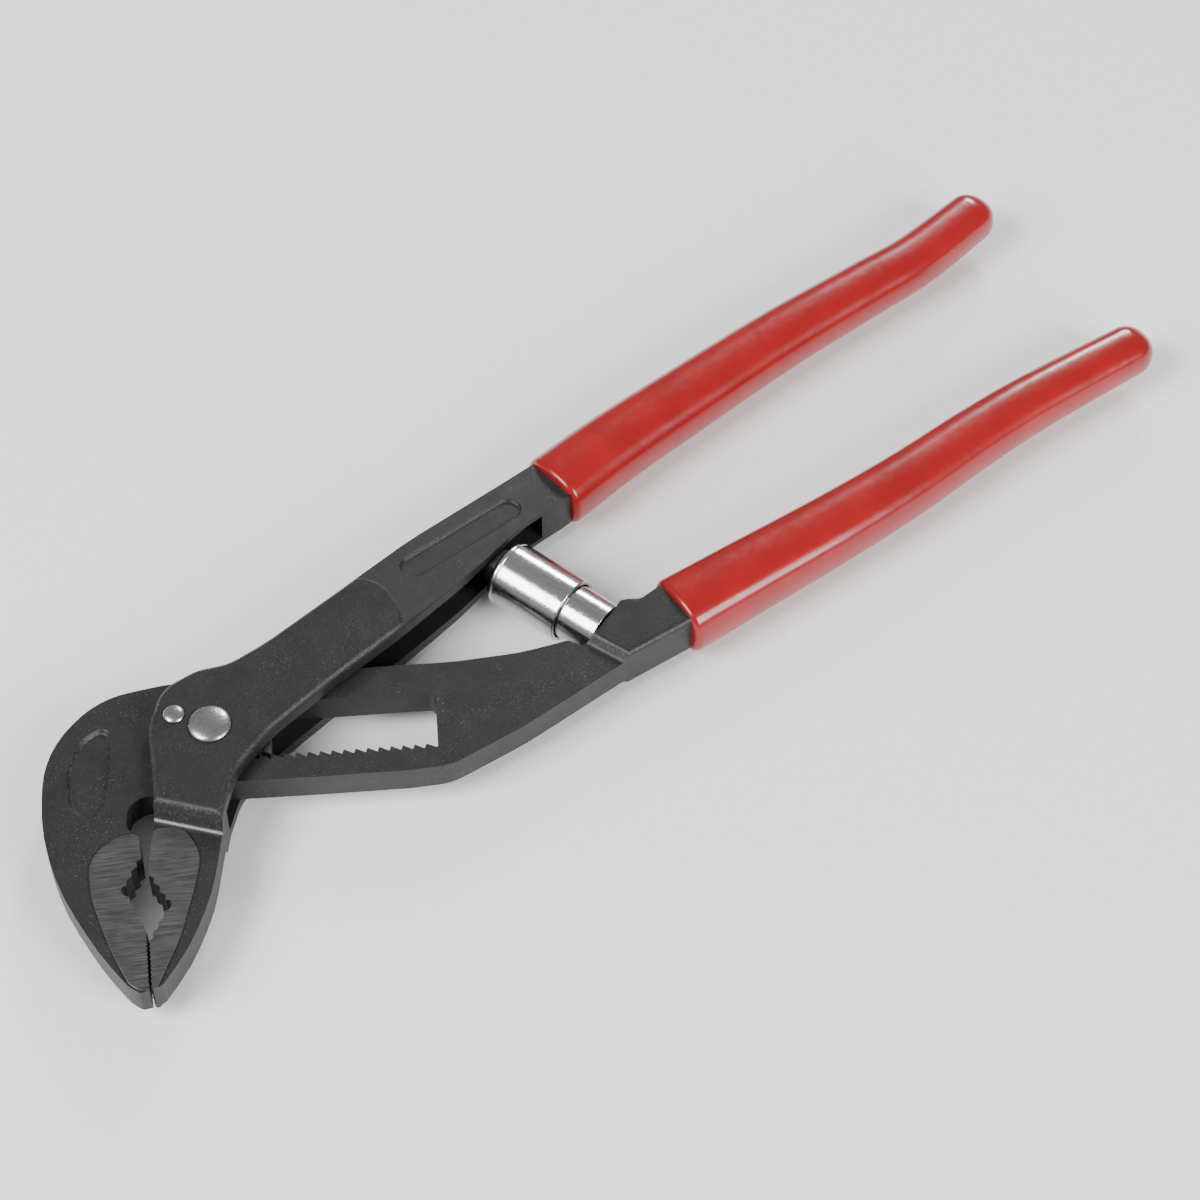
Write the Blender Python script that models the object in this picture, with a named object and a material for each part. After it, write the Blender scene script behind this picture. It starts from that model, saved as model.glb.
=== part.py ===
"""Self-adjusting box-joint pliers, 250 mm long, jaws closed.

The plan is drawn in millimetres from the main rivet's axis: +X towards the handles, +Y towards the
outer lever's handle, +Z up through the tool's thickness, with Z = 0 in its middle plane. An empty
carries that plan to its place in the part's frame, whose origin is under the middle of the tool.
"""
import math

import bmesh
import bpy
from mathutils import Matrix, Vector

MM = 0.001

# Where the rivet's axis and the middle plane stand in the part's frame
PIVOT = Vector((-84.54, 4.08, 8.15))

# Thicknesses, each from the middle plane
PLATE_IN = 3.4          # inner faces of the box joint's two plates
PLATE_OUT = 7.0         # their outer faces
LEVER_HALF = 3.1        # inner lever and both jaws
PAD_HALF = 3.5          # ground gripping pads on the jaws
BLOCK_HALF = 3.0
LUG_HALF = 5.0
ARM_OUT = 6.4           # arm beyond the box joint's plateau
TANG_HALF = 4.5
ARM_START = 43.0        # the arm's taper along X
ARM_END = 84.0
OVAL_DEPTH = 0.5

# Rack and window, along and across the rack's direction
RACK_ANGLE = math.radians(-28.65)
WINDOW_LEFT = -9.6
WINDOW_RIGHT = 42.2
WINDOW_TOP = 6.45
RACK_TIP = -5.1
RACK_ROOT = -6.1
RACK_PITCH = 2.2
TOOTH_RISE = 0.35       # length of a tooth's steep side along the rack
LIFT = 1.1              # travel of the ratchet block into the rack
BLOCK_LEFT = -4.6
BLOCK_RIGHT = 11.2
BLOCK_TOP = 5.1

# Rivets and bush
SHANK_R = 2.2
BUSH_R = 2.7
RUNNING = 0.08          # radial clearance of what turns
HEAD_R = 4.05
HEAD_RISE = 1.1
PIN_AT = (-4.5, 5.6)
PIN_R = 1.5
PIN_HEAD_R = 2.0
PIN_HEAD_RISE = 0.7

# Strut between the levers: its closed end, direction and sizes
STRUT_TOP = (67.55, 4.2)
STRUT_ANGLE = math.radians(-70.0)
STRUT_LENGTH = 24.6     # closed end to the lug's face
SLEEVE_LENGTH = 16.4
SLEEVE_R = 6.6
SLEEVE_BORE = 5.85
SLEEVE_FLOOR = 1.6
TUBE_R = 5.6
TUBE_BORE = 4.6
TUBE_TOP = 5.6          # inner end of the tube, from the closed end
SPIGOT_R = 3.2          # the tube's narrow end, which stands in the lug
SPIGOT_LENGTH = 4.0
RING_R = 5.75
RING_HEIGHT = 1.5
FOOT_LENGTH = 8.0
FOOT_WIDTH = 5.0
FOOT_HALF = 2.9

# Jaws: the closing line runs from the throat to the tip
TIP = (-35.48, -40.66)
JAW_ANGLE = math.radians(-116.7)
STEP_PITCH = 1.95
FINE_PITCH = 0.9
FINE_DEPTH = 0.22
JAW_GAP = 0.15          # from the closing line to each jaw's fine teeth

# Steps from the full thickness down to the plates: a point at each foot, and its direction
STEP_AT = (-13.3, -15.5)
STEP_RUN = (9.8, -10.4)
STEP_SLOPE = 1.9
LUG_AT = (70.2, -21.0)
LUG_RUN = (3.4, -7.6)

# Grips
GRIP_WALL = 1.3
GRIP_FIT = 0.3
OUTER_AXIS = [(85.6, 15.2), (101.0, 17.9), (120.0, 20.2), (145.0, 22.9), (168.0, 24.3),
              (182.0, 25.1), (199.0, 28.3)]
INNER_AXIS = [(89.0, -23.5), (104.0, -23.1), (128.0, -22.6), (146.0, -21.6), (165.0, -19.7),
              (181.0, -18.8), (204.0, -18.8)]
OUTER_HALF = (7.4, 5.3)     # half width at the rim and at the end
INNER_HALF = (7.6, 5.3)
GRIP_FLATNESS = 0.85        # thickness over width
TANG_FLAT = 0.3             # how much flatter a tang is than its grip's bore


# ---------------------------------------------------------------- plan geometry

def rounded(corners, step=math.radians(18)):
    """Corners (x, y, radius) as an outline whose corners are arcs, each as round as its sides let it."""
    outline = []
    count = len(corners)
    for index, (x, y, radius) in enumerate(corners):
        here = Vector((x, y))
        to_last = Vector(corners[index - 1][:2]) - here
        to_next = Vector(corners[(index + 1) % count][:2]) - here
        turn = math.pi - to_last.angle(to_next)
        reach = min(radius * math.tan(turn / 2), to_last.length * 0.49, to_next.length * 0.49)
        if reach < 0.02 or turn < 0.02:
            outline.append(here)
            continue
        real_radius = reach / math.tan(turn / 2)
        start = here + to_last.normalized() * reach
        centre = here + (to_last.normalized() + to_next.normalized()).normalized() * (
            real_radius / math.cos(turn / 2))
        pieces = max(1, math.ceil(turn / step))
        sweep = (start - centre).angle_signed(here + to_next.normalized() * reach - centre)
        for part in range(pieces + 1):
            spoke = start - centre
            spoke.rotate(Matrix.Rotation(-sweep * part / pieces, 2))
            outline.append(centre + spoke)
    return outline


def along_rack(r, n):
    """A point r along the rack's direction and n across it, from the rivet's axis."""
    cos, sin = math.cos(RACK_ANGLE), math.sin(RACK_ANGLE)
    return (r * cos - n * sin, r * sin + n * cos)


def on_jaw(t, w):
    """A point t along the closing line from the tip (throat side negative) and w towards the left jaw."""
    cos, sin = math.cos(JAW_ANGLE), math.sin(JAW_ANGLE)
    return (TIP[0] + t * cos + w * sin, TIP[1] + t * sin - w * cos)


def smooth_line(points, spans=5):
    """Points on the smooth curve through hand-placed points."""
    ends = [points[0]] + list(points) + [points[-1]]
    line = []
    for index in range(1, len(ends) - 2):
        a, b, c, d = (Vector(ends[index + shift]) for shift in (-1, 0, 1, 2))
        for part in range(spans):
            t = part / spans
            line.append(0.5 * (2 * b + (c - a) * t + (2 * a - 5 * b + 4 * c - d) * t ** 2
                               + (3 * b - a - 3 * c + d) * t ** 3))
    line.append(Vector(points[-1]))
    return line


# ---------------------------------------------------------------- solids

def material(name, colour, roughness, metallic):
    surface = bpy.data.materials.new(name)
    surface.use_nodes = True
    shader = surface.node_tree.nodes["Principled BSDF"]
    shader.inputs["Base Color"].default_value = (*colour, 1)
    shader.inputs["Roughness"].default_value = roughness
    shader.inputs["Metallic"].default_value = metallic
    return surface


def solid(name, mesh, surface=None, parent=None, smooth=True):
    """A named object from a bmesh drawn in millimetres."""
    bmesh.ops.scale(mesh, vec=(MM, MM, MM), verts=mesh.verts)
    bmesh.ops.recalc_face_normals(mesh, faces=mesh.faces)
    data = bpy.data.meshes.new(name)
    mesh.to_mesh(data)
    mesh.free()
    item = bpy.data.objects.new(name, data)
    bpy.context.collection.objects.link(item)
    item.parent = parent
    if surface:
        data.materials.append(surface)
    if smooth:
        data.shade_smooth()
        data.set_sharp_from_angle(angle=math.radians(35))
    return item


def prism_mesh(outline, low, high):
    """A bmesh prism over a plan outline, from one height to the other."""
    mesh = bmesh.new()
    floor = mesh.faces.new([mesh.verts.new((point[0], point[1], low)) for point in outline])
    grown = bmesh.ops.extrude_face_region(mesh, geom=[floor])
    tops = [item for item in grown["geom"] if isinstance(item, bmesh.types.BMVert)]
    bmesh.ops.translate(mesh, vec=(0, 0, high - low), verts=tops)
    return mesh


def turned_mesh(profile, segments=32):
    """A closed ring or plug turned about Z from an (r, z) profile that runs down its outer side."""
    mesh = bmesh.new()
    rings = []
    for radius, height in profile:
        if radius < 1e-6:
            rings.append([mesh.verts.new((0, 0, height))])
            continue
        angles = (math.tau * (k + 0.5) / segments for k in range(segments))
        rings.append([mesh.verts.new((radius * math.cos(a), radius * math.sin(a), height)) for a in angles])
    closed = rings + [rings[0]] if len(rings[0]) > 1 and len(rings[-1]) > 1 else rings
    for upper, lower in zip(closed, closed[1:]):
        for k in range(segments):
            after = (k + 1) % segments
            corners = [upper[k % len(upper)], upper[after % len(upper)],
                       lower[after % len(lower)], lower[k % len(lower)]]
            mesh.faces.new(list(dict.fromkeys(corners)))
    return mesh


def coil_mesh(radius, wire, length, turns, sides=6, per_turn=12):
    """A closed compression spring about Z, from z = 0 up to its length."""
    mesh = bmesh.new()
    steps = int(turns * per_turn)
    rings = []
    for k in range(steps + 1):
        angle = math.tau * k / per_turn
        spoke = Vector((math.cos(angle), math.sin(angle), 0))
        middle = spoke * radius + Vector((0, 0, wire + (length - 2 * wire) * k / steps))
        rings.append([mesh.verts.new(middle + wire * (spoke * math.cos(a) + Vector((0, 0, math.sin(a)))))
                      for a in (math.tau * s / sides for s in range(sides))])
    for first, second in zip(rings, rings[1:]):
        for s in range(sides):
            after = (s + 1) % sides
            mesh.faces.new((first[s], first[after], second[after], second[s]))
    mesh.faces.new(rings[0])
    mesh.faces.new(rings[-1])
    return mesh


def tube_mesh(axis, half_width, half_height, sides=16, squareness=2.6):
    """A closed bar along a plan line; the half sizes are functions of the share of its length."""
    mesh = bmesh.new()
    rings = []
    last = len(axis) - 1
    for index, point in enumerate(axis):
        ahead = (axis[min(index + 1, last)] - axis[max(index - 1, 0)]).normalized()
        side = Vector((-ahead.y, ahead.x))
        share = index / last
        ring = []
        for k in range(sides):
            angle = math.tau * (k + 0.5) / sides
            across = math.copysign(abs(math.cos(angle)) ** (2 / squareness), math.cos(angle))
            up = math.copysign(abs(math.sin(angle)) ** (2 / squareness), math.sin(angle))
            place = point + side * across * half_width(share)
            ring.append(mesh.verts.new((place.x, place.y, up * half_height(share))))
        rings.append(ring)
    for first, second in zip(rings, rings[1:]):
        for k in range(sides):
            after = (k + 1) % sides
            mesh.faces.new((first[k], first[after], second[after], second[k]))
    mesh.faces.new(rings[0])
    mesh.faces.new(rings[-1])
    return mesh


def cutter(name, mesh, parent):
    item = solid(name, mesh, parent=parent, smooth=False)
    item.hide_render = True
    item.display_type = "WIRE"
    return item


def combine(item, other, operation):
    change = item.modifiers.new(other.name, "BOOLEAN")
    change.operation = operation
    change.object = other


def lever_mesh(outline, half, chamfer):
    """A lever's blank, its rims chamfered wherever it isn't toothed."""
    mesh = prism_mesh(outline, -half, half)
    rims = []
    for edge in mesh.edges:
        first, second = (vert.co for vert in edge.verts)
        middle = (first + second).to_2d() / 2
        if abs(first.z - second.z) < 1e-6 and not in_teeth(middle):
            rims.append(edge)
    bmesh.ops.bevel(mesh, geom=rims, offset=chamfer, segments=1, affect="EDGES", clamp_overlap=True)
    return mesh


def in_teeth(place):
    """True on a jaw's gripping side, near the closing line."""
    from_tip = place - Vector(TIP)
    direction = Vector((math.cos(JAW_ANGLE), math.sin(JAW_ANGLE)))
    t = from_tip.dot(direction)
    w = from_tip.x * direction.y - from_tip.y * direction.x
    return -34.0 < t < 2.0 and abs(w) < 4.6


def thinning(lever, name, corners, run, start, pad, frame):
    """Cut both faces of a lever down to its plate, and leave its ground pad standing.

    corners are (across, z) places in a section square to run, which is swept far both ways from start.
    """
    across = Vector((run.y, -run.x))
    for sign, side in ((1, "top"), (-1, "low")):
        mesh = bmesh.new()
        ends = []
        for reach in (-90, 90):
            middle = start + run * reach
            ends.append([mesh.verts.new((*(middle + across * w), z * sign)) for w, z in corners])
        for k in range(len(corners)):
            after = (k + 1) % len(corners)
            mesh.faces.new((ends[0][k], ends[0][after], ends[1][after], ends[1][k]))
        mesh.faces.new(ends[0])
        mesh.faces.new(ends[1])
        tool = cutter(name + "_" + side, mesh, frame)
        keep = cutter(name + "_pad_" + side, prism_mesh(pad, -PAD_HALF, PAD_HALF), frame)
        combine(tool, keep, "DIFFERENCE")
        combine(lever, tool, "DIFFERENCE")


# ---------------------------------------------------------------- jaw and rack profiles

def jaw_teeth(side, first_step, lower_steps):
    """A jaw's gripping profile from the throat to the tip.

    Three rising steps lead to a round notch, and falling steps lead back to the fine teeth that meet at
    the closing line. side is +1 for the left jaw and -1 for the right one.
    """
    profile = [(first_step - 4.6, 0.9), (first_step, 0.55)]
    depth, t = 0.55, first_step
    for _ in range(3):
        depth += 1.0
        profile += [(t + 0.55, depth), (t + 1.75, depth - 0.12)]
        t += STEP_PITCH
    notch = t + 0.6
    for degrees in (150, 110, 70, 30):
        angle = math.radians(degrees)
        profile.append((notch + 1.2 * math.cos(angle), depth - 0.1 + 1.1 * math.sin(angle)))
    t = notch + 1.5
    for step in range(lower_steps):
        depth = 3.0 * (1 - step / lower_steps)
        fall = 2.8 / lower_steps
        profile += [(t, depth), (t + 1.35, depth - 0.1), (t + STEP_PITCH, depth - fall)]
        t += STEP_PITCH
    while t < -FINE_PITCH:
        phase = 1 if side > 0 else 0
        profile += [(t + 0.1, JAW_GAP + FINE_DEPTH * phase),
                    (t + 0.1 + FINE_PITCH / 2, JAW_GAP + FINE_DEPTH * (1 - phase))]
        t += FINE_PITCH
    profile.append((0.35, JAW_GAP))
    return [on_jaw(t, w * side) for t, w in profile]


def rack_outline():
    """The window in the inner lever: a smooth upper edge and a saw-tooth lower edge."""
    outline = [along_rack(WINDOW_LEFT, RACK_ROOT)]
    for k in range(-2, 19):
        start = k * RACK_PITCH
        outline += [along_rack(start, RACK_ROOT), along_rack(start + TOOTH_RISE, RACK_TIP)]
    outline += [along_rack(WINDOW_RIGHT - 0.4, RACK_ROOT), along_rack(WINDOW_RIGHT, RACK_ROOT + 0.5),
                along_rack(WINDOW_RIGHT, WINDOW_TOP - 1.2), along_rack(WINDOW_RIGHT - 1.2, WINDOW_TOP),
                along_rack(WINDOW_LEFT + 1.0, WINDOW_TOP), along_rack(WINDOW_LEFT, WINDOW_TOP - 1.0)]
    return outline


def block_outline():
    """The ratchet block, lifted clear of the rack, with teeth that fill the rack's gaps when lowered."""
    valley = RACK_TIP + LIFT + 0.15
    tip = RACK_ROOT + LIFT + 0.15
    outline = [along_rack(BLOCK_LEFT, BLOCK_TOP), along_rack(BLOCK_LEFT, valley)]
    k = -2
    while (k + 1) * RACK_PITCH < BLOCK_RIGHT:
        start = k * RACK_PITCH
        if start > BLOCK_LEFT:
            outline += [along_rack(start - 0.1, tip), along_rack(start + TOOTH_RISE - 0.1, valley)]
        k += 1
    outline += [along_rack(k * RACK_PITCH - 0.1, tip), along_rack(k * RACK_PITCH - 0.1, BLOCK_TOP)]
    return outline


# ---------------------------------------------------------------- levers

def outer_plan():
    """Plan outline of the outer lever's forging, without its tang."""
    top = [(84.2, 20.5, 2), (76, 19.5, 60), (54, 17.1, 60), (37.5, 14.1, 60), (18, 11.0, 30), (10, 10.6, 10),
           (4, 12.6, 8), (-3.5, 12.4, 8), (-10, 6.2, 12), (-13.2, -1.0, 30), (-16.3, -7.6, 20),
           (-18.6, -11.6, 1)]
    tip = [(-35.3, -41.7, 0.4), (-33.4, -41.6, 1.5)]
    back = [(-25.6, -37.5, 40), (-16.8, -30.0, 40), (-9.9, -21.2, 20), (-5.9, -16.1, 20), (-0.6, -10.9, 12),
            (9.0, -6.9, 20), (25.0, -3.4, 60), (41.0, -0.6, 40), (57.0, 3.0, 40), (75.0, 8.8, 30),
            (86.2, 9.6, 2)]
    teeth = [(x, y, 0) for x, y in jaw_teeth(-1, -22.8, 3)]
    return rounded(top + teeth + tip + back)


def inner_plan():
    """Plan outline of the inner lever's forging, without its tang."""
    top = [(88.4, -17.7, 2), (84.2, -18.4, 1), (82.0, -17.2, 0.8), (80.6, -16.9, 0.5), (70.9, -20.9, 0.8),
           (69.4, -21.0, 0.8), (67.6, -18.4, 1.0), (58.5, -15.8, 40), (46.3, -10.4, 40),
           (37.7, -5.6, 40), (6.5, 10.8, 40), (-2.0, 15.0, 12), (-14.0, 19.0, 18), (-28.0, 13.7, 22),
           (-36.4, -0.5, 50), (-39.9, -14.0, 60), (-40.0, -29.6, 60), (-38.8, -38.6, 10)]
    tip = [(-37.6, -41.0, 1.2), (-36.0, -41.2, 0.4)]
    teeth = [(x, y, 0) for x, y in reversed(jaw_teeth(1, -26.6, 4))]
    throat = [(-23.3, -9.2, 4), (-20.6, -5.2, 3.4), (-16.6, -4.8, 3.4), (-14.6, -7.4, 2),
              (-7.4, -7.9, 2)]
    bottom = [(13.4, -19.6, 30), (27.0, -27.0, 20), (34.0, -30.2, 12), (50.0, -30.4, 40), (74.0, -28.6, 30),
              (88.4, -28.6, 2)]
    return rounded(top + tip + teeth + throat + bottom)


def box_slot():
    """Plan of the gap between the plates: the box joint and the slot along the arm."""
    return rounded([(79.4, -30, 0), (79.4, 14.8, 3), (64, 14.0, 20), (38, 9.8, 20), (14.6, 8.7, 1),
                    (11.4, 12.2, 1), (11.4, 22, 0), (-40, 22, 0), (-40, -9.0, 0), (-18.0, -9.0, 0),
                    (-10.4, -9.6, 2), (-5.8, -16.5, 3), (-4.2, -30, 0)])


def pad_plan(side):
    """Plan of a jaw's ground gripping pad, inside the jaw's own outline."""
    if side < 0:
        return rounded([(-18.6, -12.4, 1), (-14.2, -14.6, 6), (-14.2, -21.6, 8), (-18.4, -26.8, 30),
                        (-26.0, -34.9, 30), (-33.9, -41.2, 2), (-40, -47, 0), (-24.6, -14.0, 0)])
    return rounded([(-20.6, -11.9, 0), (-25.6, -9.9, 5), (-32.2, -11.2, 7), (-35.6, -18.5, 20),
                    (-38.0, -30.0, 60), (-38.6, -38.6, 6), (-37.4, -40.7, 2), (-33.0, -42.5, 0),
                    (-18.8, -14.0, 0)])


def tang(name, axis, halves, end_share, frame):
    """The bar inside a grip, tapering with it."""
    line = smooth_line(axis)
    line = line[:int(len(line) * end_share)]
    line.insert(0, line[0] - (line[1] - line[0]).normalized() * 7)
    inset = GRIP_WALL + GRIP_FIT
    width = lambda share: halves[0] + (halves[1] - halves[0]) * share * end_share - inset
    height = lambda share: (halves[0] + (halves[1] - halves[0]) * share * end_share) * GRIP_FLATNESS - (
        inset + TANG_FLAT)
    return cutter(name, tube_mesh(line, width, height, 16), frame)


def taper(item, name, start, finish, z_start, z_finish, frame):
    """Thin a lever's arm evenly from one place along X to another, on both faces."""
    for sign in (1, -1):
        mesh = bmesh.new()
        corners = [(start, z_start), (finish, z_finish), (finish + 30, z_finish), (finish + 30, 12), (start, 12)]
        face = mesh.faces.new([mesh.verts.new((x, -60, z * sign)) for x, z in corners])
        grown = bmesh.ops.extrude_face_region(mesh, geom=[face])
        moved = [part for part in grown["geom"] if isinstance(part, bmesh.types.BMVert)]
        bmesh.ops.translate(mesh, vec=(0, 120, 0), verts=moved)
        side = "top" if sign > 0 else "low"
        combine(item, cutter(name + "_" + side, mesh, frame), "DIFFERENCE")


def outer_lever(steel, frame):
    lever = solid("outer_lever", lever_mesh(outer_plan(), PLATE_OUT, 0.7), steel, frame)
    high = 12
    slope = STEP_SLOPE * (high - LEVER_HALF) / (PLATE_OUT - LEVER_HALF)
    step = [(60, LEVER_HALF), (0, LEVER_HALF), (-slope, high), (60, high)]
    thinning(lever, "jaw_step", step, Vector(STEP_RUN).normalized(), Vector(STEP_AT), pad_plan(-1), frame)
    combine(lever, cutter("slot", prism_mesh(box_slot(), -PLATE_IN, PLATE_IN), frame), "DIFFERENCE")
    taper(lever, "arm_taper", ARM_START, ARM_END, ARM_OUT, TANG_HALF, frame)
    combine(lever, tang("outer_tang", OUTER_AXIS, OUTER_HALF, 0.93, frame), "UNION")
    hole = SHANK_R + RUNNING
    combine(lever, cutter("rivet_hole", turned_mesh([(0, 12), (hole, 12), (hole, -12), (0, -12)], 32), frame),
            "DIFFERENCE")
    pin_hole = turned_mesh([(0, 12), (PIN_R + 0.05, 12), (PIN_R + 0.05, -12), (0, -12)], 20)
    bmesh.ops.translate(pin_hole, vec=(*PIN_AT, 0), verts=pin_hole.verts)
    combine(lever, cutter("pin_hole", pin_hole, frame), "DIFFERENCE")
    oval = prism_mesh(rounded([(48.4, 13.3, 2.6), (49.3, 8.3, 2.6), (77.2, 11.2, 2.6), (76.4, 16.2, 2.6)]), 0, 12)
    for corner in oval.verts:
        if corner.co.z < 1:
            share = (corner.co.x - ARM_START) / (ARM_END - ARM_START)
            corner.co.z = ARM_OUT + (TANG_HALF - ARM_OUT) * share - OVAL_DEPTH
    combine(lever, cutter("oval", oval, frame), "DIFFERENCE")
    return lever


def inner_lever(steel, frame):
    lever = solid("inner_lever", lever_mesh(inner_plan(), LUG_HALF, 0.6), steel, frame)
    step = [(200, LEVER_HALF), (0, LEVER_HALF), (-1.5, 12), (200, 12)]
    thinning(lever, "lug_step", step, Vector(LUG_RUN).normalized(), Vector(LUG_AT), pad_plan(1), frame)
    combine(lever, cutter("window", prism_mesh(rack_outline(), -9, 9), frame), "DIFFERENCE")
    combine(lever, tang("inner_tang", INNER_AXIS, INNER_HALF, 0.93, frame), "UNION")
    leaf = rounded([(-15.0, 12.6, 1.5), (-17.4, 8.0, 10), (-23.8, -2.0, 20), (-27.2, -4.2, 2.2),
                    (-30.0, -0.4, 4), (-26.6, 7.4, 12), (-21.0, 12.6, 8)])
    combine(lever, cutter("leaf", prism_mesh(leaf, LEVER_HALF - 0.7, 9), frame), "DIFFERENCE")
    spigot, end = SPIGOT_R + 0.05, STRUT_LENGTH + SPIGOT_LENGTH
    seat = turned_mesh([(0, end), (spigot, end), (spigot, STRUT_LENGTH), (TUBE_R + 0.3, STRUT_LENGTH),
                        (TUBE_R + 0.3, STRUT_LENGTH - 9), (0, STRUT_LENGTH - 9)], 32)
    socket = cutter("tube_socket", seat, frame)
    place_on_strut(socket)
    combine(lever, socket, "DIFFERENCE")
    return lever


# ---------------------------------------------------------------- grips

def grip(name, axis, halves, rubber, frame):
    """A dipped sleeve over a tang: an oval bar with a rounded end, hollow from its rim."""
    line = smooth_line(axis)
    ahead = (line[-1] - line[-2]).normalized()
    ending = 5
    cap = [line[-1] + ahead * halves[1] * math.sin(math.pi / 2 * k / ending) for k in range(1, ending)]
    whole = line + cap
    last = len(whole) - 1

    def size(share):
        index = round(share * last)
        body = halves[0] + (halves[1] - halves[0]) * min(index / (len(line) - 1), 1)
        if index < len(line):
            return body
        return body * math.cos(math.pi / 2 * (index - len(line) + 1) / ending)

    skin = solid(name, tube_mesh(whole, size, lambda s: size(s) * GRIP_FLATNESS, 20), rubber, frame)
    bore_line = line[:int(len(line) * 0.95)]
    start = bore_line[0] - (bore_line[1] - bore_line[0]).normalized() * 2
    bore_line = [start] + bore_line
    share_end = 0.95
    width = lambda s: halves[0] + (halves[1] - halves[0]) * s * share_end - GRIP_WALL
    height = lambda s: (halves[0] + (halves[1] - halves[0]) * s * share_end) * GRIP_FLATNESS - GRIP_WALL
    combine(skin, cutter(name + "_bore", tube_mesh(bore_line, width, height, 16), frame), "DIFFERENCE")
    return skin


# ---------------------------------------------------------------- joint hardware

def dome(head_r, rise, base, steps=4):
    """Profile points of a domed head above base, from its centre out to its rim."""
    points = [(0, base + rise)]
    for k in range(1, steps + 1):
        angle = math.pi / 2 * k / steps
        points.append((head_r * math.sin(angle), base + rise * math.cos(angle)))
    return points


def rivet(name, shank, head_r, rise, steel, frame, segments):
    """A solid rivet with a dome on each side of the plates."""
    base = PLATE_OUT + 0.05
    upper = dome(head_r, rise, base)
    profile = upper + [(head_r * 0.98, base), (shank, base)]
    mirrored = [(radius, -height) for radius, height in reversed(profile)]
    merged = []
    for point in profile + mirrored:
        if not merged or (Vector(point) - Vector(merged[-1])).length > 1e-6:
            merged.append(point)
    return solid(name, turned_mesh(merged, segments), steel, frame)


def ratchet_block(steel, frame):
    block = solid("ratchet_block", prism_mesh(block_outline(), -BLOCK_HALF, BLOCK_HALF), steel, frame)
    half = BUSH_R + RUNNING
    count = 12
    hole = [along_rack(half * math.cos(a), half * math.sin(a) + LIFT + 0.1)
            for a in (math.pi * k / count for k in range(count + 1))]
    hole += [along_rack(half * math.cos(a), half * math.sin(a) - 0.02)
             for a in (math.pi * (1 + k / count) for k in range(count + 1))]
    combine(block, cutter("block_hole", prism_mesh(hole, -9, 9), frame), "DIFFERENCE")
    pocket = turned_mesh([(0, BLOCK_TOP - 0.5), (1.2, BLOCK_TOP - 0.5), (1.2, 2.0), (0, 2.0)], 16)
    turn_to_rack(pocket)
    combine(block, cutter("spring_pocket", pocket, frame), "DIFFERENCE")
    return block


def turn_to_rack(mesh):
    """Turn a piece drawn about Z so that its Z lies across the rack."""
    across = Vector((-math.sin(RACK_ANGLE), math.cos(RACK_ANGLE), 0))
    turn = Vector((0, 0, 1)).rotation_difference(across).to_matrix()
    bmesh.ops.rotate(mesh, verts=mesh.verts, matrix=turn)


def place_on_strut(item):
    """Lay a piece drawn about Z along the strut, with Z from the closed end to the lug."""
    item.location = (STRUT_TOP[0] * MM, STRUT_TOP[1] * MM, 0)
    along = Vector((math.cos(STRUT_ANGLE), math.sin(STRUT_ANGLE), 0))
    turn = Matrix((Vector((0, 0, 1)), along.cross(Vector((0, 0, 1))), along)).transposed()
    item.rotation_mode = "QUATERNION"
    item.rotation_quaternion = turn.to_quaternion()


def strut(steel, dark, frame):
    """The sprung strut: a cup over a tube, with a foot in the arm's slot and a spring inside."""
    bore_end = SLEEVE_LENGTH
    cup = [(2.2, 0), (SLEEVE_R - 1.1, 0), (SLEEVE_R - 0.3, 0.4), (SLEEVE_R, 1.2), (SLEEVE_R, bore_end - 0.3),
           (SLEEVE_R - 0.2, bore_end), (SLEEVE_BORE, bore_end), (SLEEVE_BORE, SLEEVE_FLOOR),
           (2.2, SLEEVE_FLOOR)]
    shoulder = STRUT_LENGTH - 0.05
    tube_end = STRUT_LENGTH + SPIGOT_LENGTH - 0.2
    tube = [(TUBE_R, TUBE_TOP), (TUBE_R, shoulder), (SPIGOT_R, shoulder), (SPIGOT_R, tube_end),
            (2.0, tube_end), (2.0, shoulder - 1.5), (TUBE_BORE, shoulder - 1.5), (TUBE_BORE, TUBE_TOP)]
    ring_top = TUBE_TOP - 0.3
    ring = [(RING_R, ring_top - RING_HEIGHT), (RING_R, ring_top), (4.0, ring_top),
            (4.0, ring_top - RING_HEIGHT)]
    pieces = [solid("strut_sleeve", turned_mesh(cup, 40), steel, frame),
              solid("strut_tube", turned_mesh(tube, 40), steel, frame),
              solid("tube_ring", turned_mesh(ring, 32), dark, frame)]
    spring_start = SLEEVE_FLOOR + 1.3
    coil = coil_mesh(3.0, 0.5, shoulder - 1.7 - spring_start, 7.5)
    bmesh.ops.translate(coil, vec=(0, 0, spring_start), verts=coil.verts)
    pieces.append(solid("strut_spring", coil, dark, frame))
    pieces.append(strut_foot(dark, frame))
    for piece in pieces:
        place_on_strut(piece)


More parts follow.
